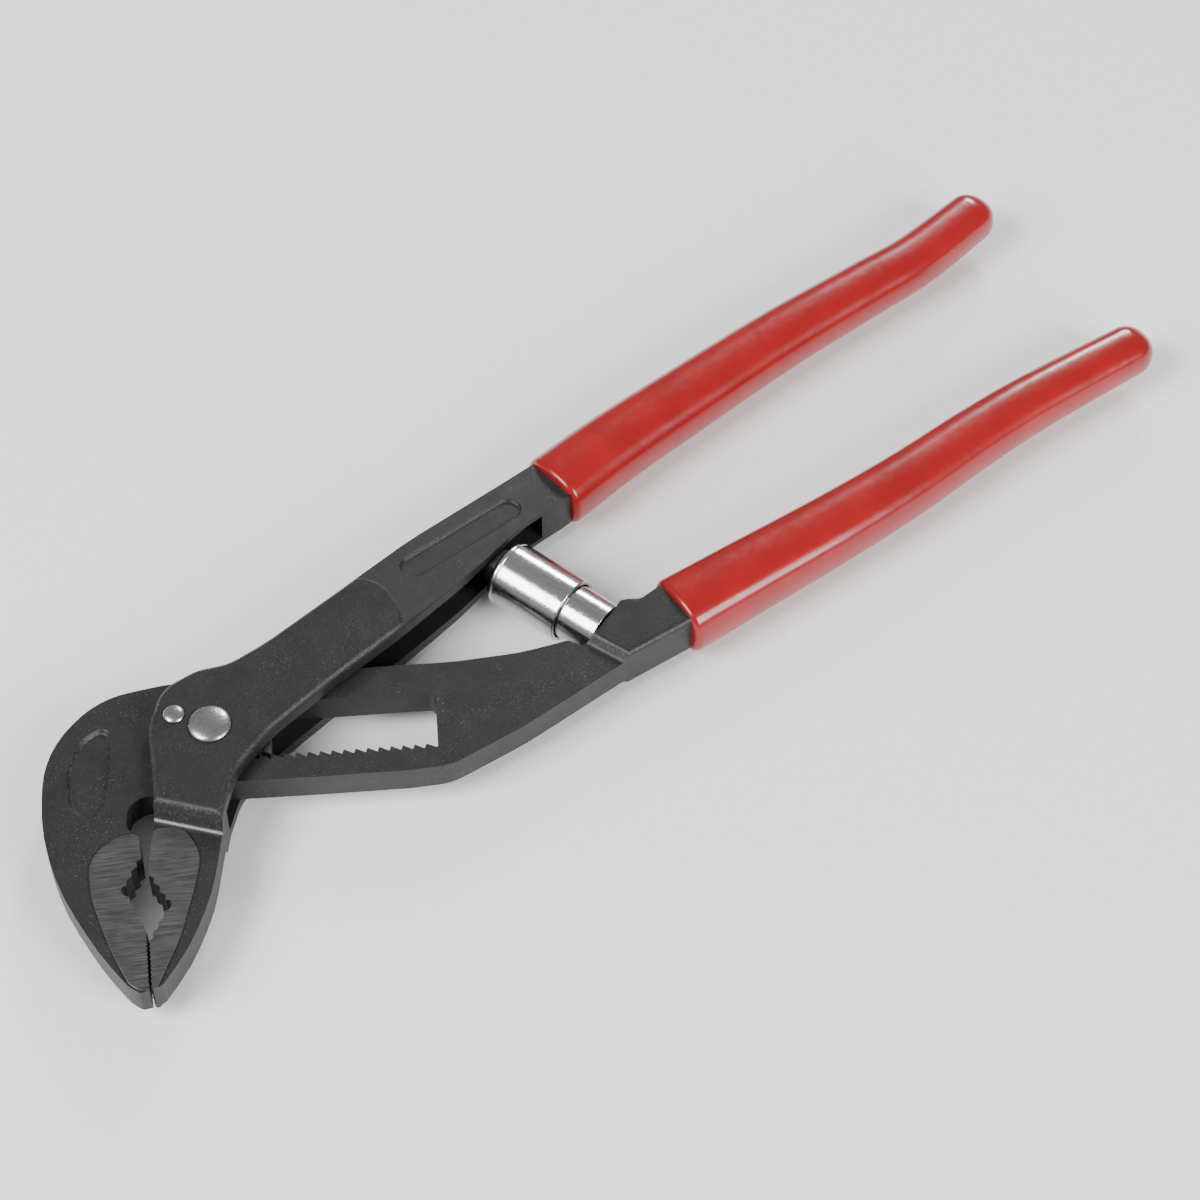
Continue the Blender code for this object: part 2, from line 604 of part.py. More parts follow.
def strut_foot(steel, frame):
    """A flat tongue outside the cup, a stem through its end, and a flange that seats the spring."""
    tongue = rounded([(FOOT_WIDTH / 2, -0.3, 0.3), (FOOT_WIDTH / 2, -FOOT_LENGTH, 3.2),
                      (-FOOT_WIDTH / 2, -FOOT_LENGTH, 3.2), (-FOOT_WIDTH / 2, -0.3, 0.3)])
    mesh = prism_mesh([Vector((z, across)) for across, z in tongue], -FOOT_HALF, FOOT_HALF)
    bmesh.ops.rotate(mesh, verts=mesh.verts, matrix=Matrix(((0, 0, 1), (0, 1, 0), (1, 0, 0))))
    foot = solid("strut_foot", mesh, steel, frame)
    flange = SLEEVE_FLOOR + 0.05
    stem = [(0, -2), (1.9, -2), (1.9, flange), (3.9, flange), (3.9, flange + 1.0), (0, flange + 1.0)]
    stem_piece = cutter("foot_stem", turned_mesh(stem, 24), frame)
    place_on_strut(stem_piece)
    combine(foot, stem_piece, "UNION")
    return foot


def hardware(bright, dark, frame):
    rivet("main_rivet", SHANK_R, HEAD_R, HEAD_RISE, bright, frame, 32)
    pin = rivet("stop_pin", PIN_R, PIN_HEAD_R, PIN_HEAD_RISE, bright, frame, 20)
    pin.location = (PIN_AT[0] * MM, PIN_AT[1] * MM, 0)
    inner = SHANK_R + RUNNING
    end = PLATE_IN - 0.3
    bush = [(BUSH_R, end), (BUSH_R, -end), (inner, -end), (inner, end)]
    solid("pivot_bush", turned_mesh(bush, 32), dark, frame)
    ratchet_block(bright, frame)
    spring = coil_mesh(0.8, 0.16, 1.4, 3, sides=5, per_turn=10)
    bmesh.ops.translate(spring, vec=(0, 0, BUSH_R + 0.2), verts=spring.verts)
    turn_to_rack(spring)
    solid("block_spring", spring, dark, frame)


def main():
    for item in list(bpy.data.objects):
        bpy.data.objects.remove(item)
    frame = bpy.data.objects.new("rivet_frame", None)
    bpy.context.collection.objects.link(frame)
    frame.location = PIVOT * MM

    outer_steel = material("coated_outer_lever", (0.035, 0.035, 0.037), 0.55, 0.4)
    inner_steel = material("coated_inner_lever", (0.035, 0.035, 0.037), 0.55, 0.4)
    red = material("red_dipped_outer", (0.35, 0.02, 0.02), 0.3, 0.0)
    red_too = material("red_dipped_inner", (0.35, 0.02, 0.02), 0.3, 0.0)
    bright = material("bright_steel", (0.62, 0.62, 0.63), 0.25, 1.0)
    dark = material("spring_steel", (0.2, 0.2, 0.21), 0.4, 1.0)

    outer_lever(outer_steel, frame)
    inner_lever(inner_steel, frame)
    grip("outer_grip", OUTER_AXIS, OUTER_HALF, red, frame)
    grip("inner_grip", INNER_AXIS, INNER_HALF, red_too, frame)
    hardware(bright, dark, frame)
    strut(bright, dark, frame)


main()
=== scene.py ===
"""Self-adjusting box-joint pliers: forged levers, rivets, a sprung strut, a rack and dipped grips.

Plan places are in millimetres from the main rivet's axis: +X towards the handles, +Y towards the outer
lever's handle, and heights from the tool's middle plane.
"""
import math

import bmesh
import bpy
from bpy.props import FloatProperty, FloatVectorProperty, PointerProperty
from mathutils import Matrix, Vector


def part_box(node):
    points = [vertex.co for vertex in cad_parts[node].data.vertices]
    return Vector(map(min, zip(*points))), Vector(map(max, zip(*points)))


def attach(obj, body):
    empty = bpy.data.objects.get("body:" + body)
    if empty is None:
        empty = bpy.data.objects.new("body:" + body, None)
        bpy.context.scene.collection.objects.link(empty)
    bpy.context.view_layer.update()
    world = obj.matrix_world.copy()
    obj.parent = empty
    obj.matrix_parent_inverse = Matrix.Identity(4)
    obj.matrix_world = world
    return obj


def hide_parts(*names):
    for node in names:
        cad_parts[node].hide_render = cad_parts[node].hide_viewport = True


bl_info = {
    "name": "Box-joint pliers",
    "version": (1, 0, 0),
    "blender": (4, 5, 0),
    "location": "View3D > Sidebar > Pliers",
    "description": "Builds self-adjusting pliers around a packed frame",
    "category": "Add Mesh",
}

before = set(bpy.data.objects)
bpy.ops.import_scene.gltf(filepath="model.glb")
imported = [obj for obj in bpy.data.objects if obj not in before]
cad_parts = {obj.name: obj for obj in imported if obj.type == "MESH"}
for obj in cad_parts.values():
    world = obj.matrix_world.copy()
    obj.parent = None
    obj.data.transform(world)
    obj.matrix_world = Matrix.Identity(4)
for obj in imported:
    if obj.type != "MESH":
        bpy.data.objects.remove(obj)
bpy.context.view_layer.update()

MM = 0.001
UP = Vector((0, 0, 1))
RIGHT = Vector((1, 0, 0))

# The main rivet's middle is where every plan place is measured from
RIVET = (Vector(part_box("main_rivet")[0]) + Vector(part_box("main_rivet")[1])) / 2

# Heights from the middle plane
PLATE_IN = 3.4          # inner faces of the box joint's plates
PLATE_OUT = 7.0         # outer faces
LEVER_HALF = 3.1        # inner lever and jaws
PAD_HALF = 3.5          # ground pads
LUG_HALF = 5.0
ARM_OUT = 6.4           # arm where the plateau ends
ARM_END_HALF = 4.5      # arm where the grip starts
ARM_START = 43.0
ARM_END = 84.0

# Jaws: the closing line runs from the throat to the tip
TIP = (-35.48, -40.66)
JAW_ANGLE = math.radians(-116.7)
STEP_PITCH = 1.95
FINE_PITCH = 0.9
FINE_DEPTH = 0.22
JAW_GAP = 0.15

# Steps down to the thin plates: a point at each foot and its direction
JAW_STEP_AT = (-13.3, -15.5)
JAW_STEP_RUN = (9.8, -10.4)
LUG_STEP_AT = (70.2, -21.0)
LUG_STEP_RUN = (3.4, -7.6)
JAW_STEP_SLOPE = 2.3
LUG_STEP_SLOPE = 1.6
CLEAR = 12              # height of a cutting tool, well clear of the tool's faces

# Shallow recesses
OVAL_DEPTH = 0.75
LEAF_DEPTH = 0.8
SEAT_GAP = 0.13         # round a rivet head
SEAT_DEPTH = 0.2

# Rack and window, along and across the rack's direction
RACK_ANGLE = math.radians(-28.65)
WINDOW_LEFT = -9.6
WINDOW_RIGHT = 42.2
WINDOW_TOP = 6.45
RACK_TIP = -5.1
RACK_ROOT = -6.1
RACK_PITCH = 2.2
TOOTH_RISE = 0.35

# Rivets
SHANK_R = 2.2
HEAD_R = 4.05
HEAD_RISE = 1.1
PIN_AT = (-4.5, 5.6)
PIN_R = 1.5
PIN_HEAD_R = 2.0
PIN_HEAD_RISE = 0.7
HEAD_GAP = 0.05         # under a head
EDGE_RISE = 0.12        # thickness of a head at its edge

# Strut: its closed end, direction and sizes
STRUT_TOP = (67.55, 4.2)
STRUT_ANGLE = math.radians(-70.0)
STRUT_LENGTH = 24.6
SLEEVE_LENGTH = 16.4
SLEEVE_R = 6.6
SLEEVE_BORE = 5.85
TUBE_R = 5.6
TUBE_BORE = 4.6
TUBE_TOP = 5.6
SPIGOT_R = 3.2

# Grips: each axis from the rim to the end, and half widths at the two
OUTER_AXIS = [(85.6, 15.2), (101.0, 17.9), (120.0, 20.2), (145.0, 22.9), (168.0, 24.3),
              (182.0, 25.1), (199.0, 28.3)]
INNER_AXIS = [(89.0, -23.5), (104.0, -23.1), (128.0, -22.6), (146.0, -21.6), (165.0, -19.7),
              (181.0, -18.8), (204.0, -18.8)]
OUTER_HALF = (7.4, 5.2)
INNER_HALF = (7.6, 5.2)
GRIP_FLATNESS = 0.85
GRIP_SQUARENESS = 1.28  # 1 is an ellipse
RIM_BEAD = 1.25         # rounding of the dipped rim
END_LENGTH = 0.96       # of the round end, to its half width

# The camera's place from the rivet, in metres, and its aim
CAMERA_AT = (-0.13118, -0.33092, 0.5259)
CAMERA_TURN = (math.radians(36.0), 0.0, math.radians(-33.4))
CAMERA_LENS = 100.7


# ---------------------------------------------------------------- plan geometry

def at(x, y, height=0.0):
    """A place in the frame, in metres, from a plan place and height in millimetres."""
    return RIVET + Vector((x, y, height)) * MM


def rounded(corners, step=math.radians(7)):
    """Corners (x, y, radius) as an outline whose corners are arcs, each as round as its sides let it."""
    outline = []
    count = len(corners)
    for index, (x, y, radius) in enumerate(corners):
        here = Vector((x, y))
        to_last = Vector(corners[index - 1][:2]) - here
        to_next = Vector(corners[(index + 1) % count][:2]) - here
        turn = math.pi - to_last.angle(to_next)
        reach = min(radius * math.tan(turn / 2), to_last.length * 0.49, to_next.length * 0.49)
        if reach < 0.02 or turn < 0.02:
            outline.append(here)
            continue
        real_radius = reach / math.tan(turn / 2)
        start = here + to_last.normalized() * reach
        centre = here + (to_last.normalized() + to_next.normalized()).normalized() * (
            real_radius / math.cos(turn / 2))
        pieces = max(1, math.ceil(turn / step))
        sweep = (start - centre).angle_signed(here + to_next.normalized() * reach - centre)
        for part in range(pieces + 1):
            spoke = start - centre
            spoke.rotate(Matrix.Rotation(-sweep * part / pieces, 2))
            outline.append(centre + spoke)
    return outline


def miters(outline):
    """How each point of an outline moves as the outline grows by one millimetre."""
    area = sum(a.x * b.y - b.x * a.y for a, b in zip(outline, outline[1:] + outline[:1]))
    outwards = math.copysign(1, area)
    moves = []
    for before, here, after in zip(outline[-1:] + outline[:-1], outline, outline[1:] + outline[:1]):
        first, second = (here - before).normalized(), (after - here).normalized()
        mean = (first + second).normalized()
        moves.append(Vector((mean.y, -mean.x)) * outwards / max(0.5, mean.dot(first)))
    return moves


def shifted(outline, distance):
    """The outline grown by a distance, or shrunk by a negative one."""
    moved = []
    for here, move in zip(outline, miters(outline)):
        there = here + move * distance
        if not moved or (there - moved[-1]).length > 0.02:
            moved.append(there)
    return moved


def smooth_line(points, spans=8):
    """Points on the smooth curve through given points."""
    ends = [points[0]] + list(points) + [points[-1]]
    line = []
    for index in range(1, len(ends) - 2):
        a, b, c, d = (Vector(ends[index + shift]) for shift in (-1, 0, 1, 2))
        for part in range(spans):
            t = part / spans
            line.append(0.5 * (2 * b + (c - a) * t + (2 * a - 5 * b + 4 * c - d) * t ** 2
                               + (3 * b - a - 3 * c + d) * t ** 3))
    line.append(Vector(points[-1]))
    return line


def on_jaw(t, w):
    """A point t along the closing line from the tip (throat side negative) and w towards the left jaw."""
    cos, sin = math.cos(JAW_ANGLE), math.sin(JAW_ANGLE)
    return (TIP[0] + t * cos + w * sin, TIP[1] + t * sin - w * cos)


def along_rack(r, n, radius=0.0):
    """A corner r along the rack's direction and n across it, from the rivet's axis."""
    cos, sin = math.cos(RACK_ANGLE), math.sin(RACK_ANGLE)
    return (r * cos - n * sin, r * sin + n * cos, radius)


def in_teeth(place):
    """True on a jaw's gripping side, near the closing line."""
    from_tip = place - Vector(TIP)
    direction = Vector((math.cos(JAW_ANGLE), math.sin(JAW_ANGLE)))
    t = from_tip.dot(direction)
    w = from_tip.x * direction.y - from_tip.y * direction.x
    return -34.0 < t < 0.9 and abs(w) < 4.6


def rim_depths(outline, width):
    """How deep a rim's rounding goes at each outline point: less where it turns tightly, none on teeth."""
    count = len(outline)
    turns = []
    for index, here in enumerate(outline):
        before, after = here - outline[index - 1], outline[(index + 1) % count] - here
        turns.append(math.atan2(before.cross(after), before.dot(after)))
    outwards = math.copysign(1, sum(turns))
    depths = [0.0 if in_teeth(here) else width for here in outline]
    lengths = []
    for index, here in enumerate(outline):
        after = (index + 1) % count
        lengths.append((outline[after] - here).length)
        squeeze = math.tan(turns[index] * outwards / 2) + math.tan(turns[after] * outwards / 2)
        if squeeze > 0:
            fits = 0.75 * lengths[-1] / squeeze
            depths[index], depths[after] = min(depths[index], fits), min(depths[after], fits)
    for _ in range(2):
        for index in range(count):
            depths[index] = min(depths[index], depths[index - 1] + 0.5 * lengths[index - 1])
        for index in reversed(range(count)):
            depths[index] = min(depths[index], depths[(index + 1) % count] + 0.5 * lengths[index])
    return depths


# ---------------------------------------------------------------- modelling by operators

def activate(piece):
    bpy.ops.object.select_all(action="DESELECT")
    piece.select_set(True)
    bpy.context.view_layer.objects.active = piece


def draw_chain(name, places, closed=True):
    """A wire of points, each pulled out of the last. It is left selected in edit mode."""
    bpy.ops.object.select_all(action="DESELECT")
    bpy.ops.mesh.primitive_plane_add(size=MM, location=places[0])
    piece = bpy.context.object
    piece.name = piece.data.name = name
    bpy.ops.object.mode_set(mode="EDIT")
    bpy.ops.mesh.select_mode(type="VERT")
    bpy.ops.mesh.select_all(action="SELECT")
    bpy.ops.mesh.merge(type="CENTER")
    last = places[0]
    for place in places[1:] + ([places[0]] if closed else []):
        bpy.ops.mesh.extrude_region_move(TRANSFORM_OT_translate={"value": place - last})
        last = place
    bpy.ops.mesh.select_all(action="SELECT")
    bpy.ops.mesh.remove_doubles(threshold=MM * 0.0005)
    return piece


def draw_prism(name, outline, low, high):
    """A solid over a plan outline, left in object mode."""
    piece = draw_chain(name, [at(x, y, low) for x, y in outline])
    bpy.ops.mesh.edge_face_add()
    bpy.ops.mesh.extrude_region_move(TRANSFORM_OT_translate={"value": (0, 0, (high - low) * MM)})
    close_editing()
    return piece


def close_editing():
    """Turn every face outwards and leave edit mode."""
    bpy.ops.mesh.select_all(action="SELECT")
    bpy.ops.mesh.normals_make_consistent(inside=False)
    bpy.ops.object.mode_set(mode="OBJECT")
    bpy.ops.object.transform_apply(location=True, rotation=True, scale=True)


def modify(piece, kind, **settings):
    """Add a modifier, set it and apply it."""
    activate(piece)
    bpy.ops.object.modifier_add(type=kind)
    change = piece.modifiers[-1]
    for name, value in settings.items():
        setattr(change, name, value)
    bpy.ops.object.modifier_apply(modifier=change.name)


def carve(piece, tool):
    """Cut a tool out of a piece and throw the tool away."""
    modify(piece, "BOOLEAN", operation="DIFFERENCE", object=tool, solver="MANIFOLD")
    bpy.data.objects.remove(tool)


def round_rims(piece, outline, width, segments=5):
    """Round the upper and lower rims of a prism, less where the outline turns tightly."""
    depths, outwards = rim_depths(outline, width), miters(outline)
    activate(piece)
    bpy.ops.object.mode_set(mode="EDIT")
    for side in (1, -1):
        select_faces(lambda face: face.normal.z * side > 0.9)
        mesh = bmesh.from_edit_mesh(piece.data)
        rim = mesh.verts.layers.int.new("rim")
        for vert in mesh.verts:
            if vert.select:
                place = (vert.co - RIVET).to_2d() / MM
                vert[rim] = min(range(len(outline)), key=lambda k: (outline[k] - place).length_squared)
                vert.co.z -= side * depths[vert[rim]] * MM
        for step in range(segments):
            bpy.ops.mesh.extrude_region_move(TRANSFORM_OT_translate={"value": (0, 0, 0)})
            mesh = bmesh.from_edit_mesh(piece.data)
            rim = mesh.verts.layers.int["rim"]
            last, now = (math.pi / 2 * k / segments for k in (step, step + 1))
            for vert in mesh.verts:
                if vert.select:
                    depth = depths[vert[rim]] * MM
                    vert.co.xy -= outwards[vert[rim]] * depth * (math.cos(last) - math.cos(now))
                    vert.co.z += side * depth * (math.sin(now) - math.sin(last))
        mesh.verts.layers.int.remove(rim)
        bmesh.update_edit_mesh(piece.data)
    bpy.ops.mesh.select_all(action="SELECT")
    bpy.ops.mesh.remove_doubles(threshold=MM * 0.0005)
    close_editing()


def sweep_section(name, corners, start, run):
    """A long bar of one section: (across, height) corners square to run, through start."""
    start, run = Vector(start), Vector(run).normalized()
    across = Vector((run.y, -run.x))
    ends = start - run * 90
    piece = draw_chain(name, [at(*(ends + across * w), z) for w, z in corners])
    bpy.ops.mesh.edge_face_add()
    bpy.ops.mesh.extrude_region_move(TRANSFORM_OT_translate={"value": (run * 180 * MM).to_3d()})
    close_editing()
    return piece


def pocket_tool(name, outline, surface, depth, soft, steps=6):
    """A tool for a shallow recess with a rounded lip and foot. surface is the height at the lip."""
    proud = 0.06
    piece = draw_chain(name, [at(x, y, surface + proud) for x, y in shifted(outline, soft)])
    bpy.ops.mesh.edge_face_add()
    bpy.ops.mesh.extrude_region_move(TRANSFORM_OT_translate={"value": (0, 0, 6 * MM)})
    bpy.ops.mesh.select_all(action="SELECT")
    bpy.ops.mesh.normals_make_consistent(inside=False)
    select_faces(lambda face: face.normal.z < -0.9)
    sunk = 0.0
    for step in range(1, steps + 1):
        share = step / steps
        deeper = (depth + proud) * share * share * (3 - 2 * share)
        bpy.ops.mesh.inset(thickness=2 * soft * MM / steps, depth=(deeper - sunk) * MM,
                           use_even_offset=True)
        sunk = deeper
    close_editing()
    return piece


def select_faces(test):
    """In edit mode, select just the faces that pass a test."""
    bpy.ops.mesh.select_mode(type="FACE")
    mesh = bmesh.from_edit_mesh(bpy.context.object.data)
    for face in mesh.faces:
        face.select_set(bool(test(face)))
    mesh.select_flush_mode()
    bmesh.update_edit_mesh(bpy.context.object.data)


def slope_to(piece, low_side, height_at):
    """Move the low or high points of a tool to a height that changes along X."""
    for vert in piece.data.vertices:
        place = (vert.co - RIVET) / MM
        if low_side(place):
            vert.co.z += height_at(place.x) * MM


def turn_piece(name, profile, origin, axis, out, steps=72, closed=False):
    """Spin a (radius, along) profile round an axis through origin."""
    places = [origin + out * radius * MM + axis * along * MM for radius, along in profile]
    piece = draw_chain(name, places, closed)
    bpy.ops.mesh.spin(steps=steps, angle=math.tau, center=origin, axis=axis)
    bpy.ops.mesh.select_all(action="SELECT")
    bpy.ops.mesh.remove_doubles(threshold=MM * 0.001)
    close_editing()
    return piece


def finish_piece(piece, body, nodes, surfaces, smooth=32.0):
    """Shade a piece, give it its materials and tie it to the frame."""
    activate(piece)
    bpy.ops.object.transform_apply(location=True, rotation=True, scale=True)
    piece.data.materials.clear()
    for surface in surfaces:
        piece.data.materials.append(surface)
    bpy.ops.object.shade_smooth_by_angle(angle=math.radians(smooth))
    modify(piece, "WEIGHTED_NORMAL", keep_sharp=True)
    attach(piece, body)
    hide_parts(*nodes)


# ---------------------------------------------------------------- materials

def linear(code):
    """An sRGB hex colour as linear red, green, blue and full alpha."""
    values = [int(code[k:k + 2], 16) / 255 for k in (1, 3, 5)]
    return (*(v / 12.92 if v <= 0.04045 else ((v + 0.055) / 1.055) ** 2.4 for v in values), 1.0)


def add_node(tree, kind, inputs=(), **settings):
    """Add a node. Each input is a value, or an output to link from."""
    item = tree.nodes.new("ShaderNode" + kind)
    for name, value in settings.items():
        setattr(item, name, value)
    for socket, value in dict(inputs).items():
        if isinstance(value, bpy.types.NodeSocket):
            tree.links.new(value, item.inputs[socket])
        else:
            item.inputs[socket].default_value = value
    return item


def new_material(name, **sockets):
    """An empty Principled material: its tree, its shader, and Object coordinates."""
    surface = bpy.data.materials.new(name)
    surface.use_nodes = True
    tree = surface.node_tree
    shader = tree.nodes["Principled BSDF"]
    for socket, value in sockets.items():
        shader.inputs[socket.replace("_", " ")].default_value = value
    return surface, tree, shader, add_node(tree, "TexCoord").outputs


def grain(tree, place, size_mm, detail=2.0, rough=0.5, stretch=None, turn=0.0):
    """Noise whose blotches are size_mm across. stretch lengthens them along X after a turn about Z."""
    if stretch:
        place = add_node(tree, "Mapping", {"Vector": place, "Rotation": (0, 0, turn)}).outputs[0]
        place = add_node(tree, "Mapping", {"Vector": place, "Scale": stretch}).outputs[0]
    return add_node(tree, "TexNoise", {"Vector": place, "Scale": 1000 / size_mm, "Detail": detail,
                                       "Roughness": rough}).outputs["Fac"]


def ramp(tree, value, low, high, start=0.0, finish=1.0):
    """Map low..high to start..finish, held at both ends."""
    return add_node(tree, "MapRange", {"Value": value, "From Min": low, "From Max": high,
                                       "To Min": start, "To Max": finish}).outputs[0]


def mix(tree, share, first, second):
    return add_node(tree, "Mix", {0: share, 6: first, 7: second}, data_type="RGBA").outputs[2]


def times(tree, first, second):
    return add_node(tree, "Math", {0: first, 1: second}, operation="MULTIPLY").outputs[0]


def blackened_steel():
    """Drop-forged steel, shot-blasted and black-coated: a satin charcoal skin with a fine grit.

    The grit's sparkle is painted into the colour as light dots (painted glints), and rounded rims get
    lighter speckles, partly worn coat and partly a painted rim highlight.
    """
    finish = bpy.context.scene.pliers_finish
    surface, tree, shader, coords = new_material("blackened_forged_steel", Specular_IOR_Level=0.4)
    place = coords["Object"]
    # Shot-blast grit is near 0.1 mm, drawn at 0.3 mm so that it shows
    grit = grain(tree, place, 0.3, 3.0, 0.65)
    mottle = grain(tree, place, 6.0, 4.0, 0.6)
    colour = mix(tree, ramp(tree, mottle, 0.35, 0.65), finish.coat, linear("#232323"))
    colour = mix(tree, ramp(tree, grit, 0.4, 0.75, 0.0, 0.5), colour, linear("#2f2f2f"))
    # Painted glints: bright grit dots painted into the colour, gathered in clusters
    glint_clusters = ramp(tree, grain(tree, place, 7.0, 2.0), 0.45, 0.62)
    painted_glints = ramp(tree, grain(tree, place, 0.28, 1.0, 0.5), 0.66, 0.74, 0.0, 0.4)
    colour = mix(tree, times(tree, painted_glints, glint_clusters), colour, linear("#8a8a8a"))
    # Rounded rims: lighter grey speckles, partly worn coat and partly a painted rim highlight
    lean = add_node(tree, "Math", {0: add_node(tree, "SeparateXYZ", {0: coords["Normal"]}).outputs[2]},
                    operation="ABSOLUTE").outputs[0]
    rim = times(tree, ramp(tree, lean, 0.3, 0.6), ramp(tree, lean, 0.96, 0.85))
    rim_highlight_and_wear = times(tree, rim, ramp(tree, grain(tree, place, 0.5, 4.0, 0.75), 0.52, 0.68, 0.0, 0.5))
    colour = mix(tree, rim_highlight_and_wear, colour, linear("#6c6c6c"))
    tree.links.new(colour, shader.inputs["Base Color"])
    tree.links.new(ramp(tree, grit, 0.3, 0.7, 0.36, 0.52), shader.inputs["Roughness"])
    fine = add_node(tree, "Bump", {"Height": grit, "Strength": 0.6, "Distance": 0.00007})
    broad = add_node(tree, "Bump", {"Height": grain(tree, place, 3.0, 2.0), "Strength": 0.5,
                                    "Distance": 0.00008, "Normal": fine.outputs[0]})
    tree.links.new(broad.outputs[0], shader.inputs["Normal"])
    return surface


def ground_steel():
    """Bare tool steel from a surface grinder: grey, with fine straight scratches across the jaws."""
    finish = bpy.context.scene.pliers_finish
    surface, tree, shader, coords = new_material("surface_ground_steel", Metallic=1.0)
    place = coords["Object"]
    # Grinding scratches are near 0.05 mm wide, drawn at 0.16 mm so that they show
    lines = grain(tree, place, 0.16, 3.0, 0.6, stretch=(0.03, 1.0, 1.0), turn=math.radians(26))
    cloud = grain(tree, place, 4.0, 3.0, 0.5)
    colour = mix(tree, ramp(tree, lines, 0.35, 0.65), finish.ground, linear("#7d7d7d"))
    colour = mix(tree, ramp(tree, cloud, 0.4, 0.7, 0.0, 0.35), colour, linear("#525252"))
    tree.links.new(colour, shader.inputs["Base Color"])
    tree.links.new(ramp(tree, lines, 0.3, 0.7, 0.34, 0.5), shader.inputs["Roughness"])
    bump = add_node(tree, "Bump", {"Height": lines, "Strength": 0.35, "Distance": 0.00003})
    tree.links.new(bump.outputs[0], shader.inputs["Normal"])
    return surface


def plated_steel():
    """Drawn and polished steel tube, bright plated: mirror-like, with streaks along the tube."""
    finish = bpy.context.scene.pliers_finish
    surface, tree, shader, coords = new_material("bright_plated_steel", Metallic=1.0)
    place = coords["Object"]
    # Drawing marks are near 0.1 mm wide, drawn at 0.3 mm so that they show
    marks = grain(tree, place, 0.3, 4.0, 0.65, stretch=(0.05, 1.0, 1.0), turn=-STRUT_ANGLE)
    spots = grain(tree, place, 0.5, 3.0, 0.7)
    colour = mix(tree, ramp(tree, marks, 0.35, 0.65), finish.plate, linear("#b9b9b9"))
    tree.links.new(colour, shader.inputs["Base Color"])
    tree.links.new(ramp(tree, spots, 0.35, 0.7, 0.10, 0.26), shader.inputs["Roughness"])
    bump = add_node(tree, "Bump", {"Height": marks, "Strength": 0.35, "Distance": 0.00003})
    rough = add_node(tree, "Bump", {"Height": spots, "Strength": 0.3, "Distance": 0.00004,
                                    "Normal": bump.outputs[0]})
    tree.links.new(rough.outputs[0], shader.inputs["Normal"])
    return surface


def set_steel():
    """Mild steel rivet, its head burnished by the setting die: bright satin with small dents."""
    surface, tree, shader, coords = new_material("burnished_rivet_steel", Metallic=1.0)
    place = coords["Object"]
    dents = grain(tree, place, 0.7, 3.0, 0.6)
    colour = mix(tree, ramp(tree, dents, 0.35, 0.7), linear("#c4c4c4"), linear("#8e8e8e"))
    pits = ramp(tree, grain(tree, place, 0.4, 2.0), 0.68, 0.74, 0.0, 0.7)
    colour = mix(tree, pits, colour, linear("#3a3a3a"))
    tree.links.new(colour, shader.inputs["Base Color"])
    tree.links.new(ramp(tree, dents, 0.3, 0.7, 0.2, 0.38), shader.inputs["Roughness"])
    bump = add_node(tree, "Bump", {"Height": dents, "Strength": 0.4, "Distance": 0.0001})
    tree.links.new(bump.outputs[0], shader.inputs["Normal"])
    return surface


def machined_steel():
    """Hardened steel from the milling cutter: mid grey with a soft sheen."""
    surface, tree, shader, coords = new_material("milled_hard_steel", Metallic=1.0)
    marks = grain(tree, coords["Object"], 0.3, 3.0, 0.6, stretch=(0.2, 1.0, 1.0), turn=-RACK_ANGLE)
    tree.links.new(mix(tree, marks, linear("#8a8a8a"), linear("#b4b4b4")), shader.inputs["Base Color"])
    tree.links.new(ramp(tree, marks, 0.3, 0.7, 0.25, 0.42), shader.inputs["Roughness"])
    return surface


def spring_wire():
    """Oil-tempered spring wire: dark grey drawn steel with a soft gloss."""
    surface, tree, shader, coords = new_material("oil_tempered_wire", Metallic=1.0)
    marks = grain(tree, coords["Object"], 0.4, 2.0)
    tree.links.new(mix(tree, marks, linear("#3c3c3e"), linear("#5a5a5c")), shader.inputs["Base Color"])
    tree.links.new(ramp(tree, marks, 0.3, 0.7, 0.3, 0.45), shader.inputs["Roughness"])
    return surface


def acetal():
    """Moulded black acetal: a waxy, even black."""
    surface, tree, shader, coords = new_material("moulded_black_acetal", IOR=1.48)
    marks = grain(tree, coords["Object"], 0.6, 2.0)
    tree.links.new(mix(tree, marks, linear("#161616"), linear("#202020")), shader.inputs["Base Color"])
    tree.links.new(ramp(tree, marks, 0.3, 0.7, 0.4, 0.5), shader.inputs["Roughness"])
    return surface


def dipped_vinyl():
    """PVC plastisol, dipped and oven-cured: deep even red, wet-looking, with a slow ripple."""
    finish = bpy.context.scene.pliers_finish
    surface, tree, shader, coords = new_material("dipped_red_plastisol", IOR=1.53, Coat_Weight=0.25,
                                                 Coat_Roughness=0.05)
    place = coords["Object"]
    slow = grain(tree, place, 9.0, 2.0, 0.4)
    peel = grain(tree, place, 1.6, 2.0, 0.5)
    colour = mix(tree, ramp(tree, slow, 0.3, 0.7), finish.vinyl, linear("#8c0a0e"))
    tree.links.new(colour, shader.inputs["Base Color"])
    tree.links.new(ramp(tree, peel, 0.3, 0.7, 0.2, 0.27), shader.inputs["Roughness"])
    ripple = add_node(tree, "Bump", {"Height": slow, "Strength": 0.4, "Distance": 0.0003})
    fine = add_node(tree, "Bump", {"Height": peel, "Strength": 0.25, "Distance": 0.00005,
                                   "Normal": ripple.outputs[0]})
    tree.links.new(fine.outputs[0], shader.inputs["Normal"])
    return surface


def shared_material(maker):
    """A material made once and used by several pieces."""
    name = maker.__name__
    kept = bpy.context.scene.get("pliers_" + name)
    if kept is None:
        kept = maker()
        bpy.context.scene["pliers_" + name] = kept
    return kept


# ---------------------------------------------------------------- levers

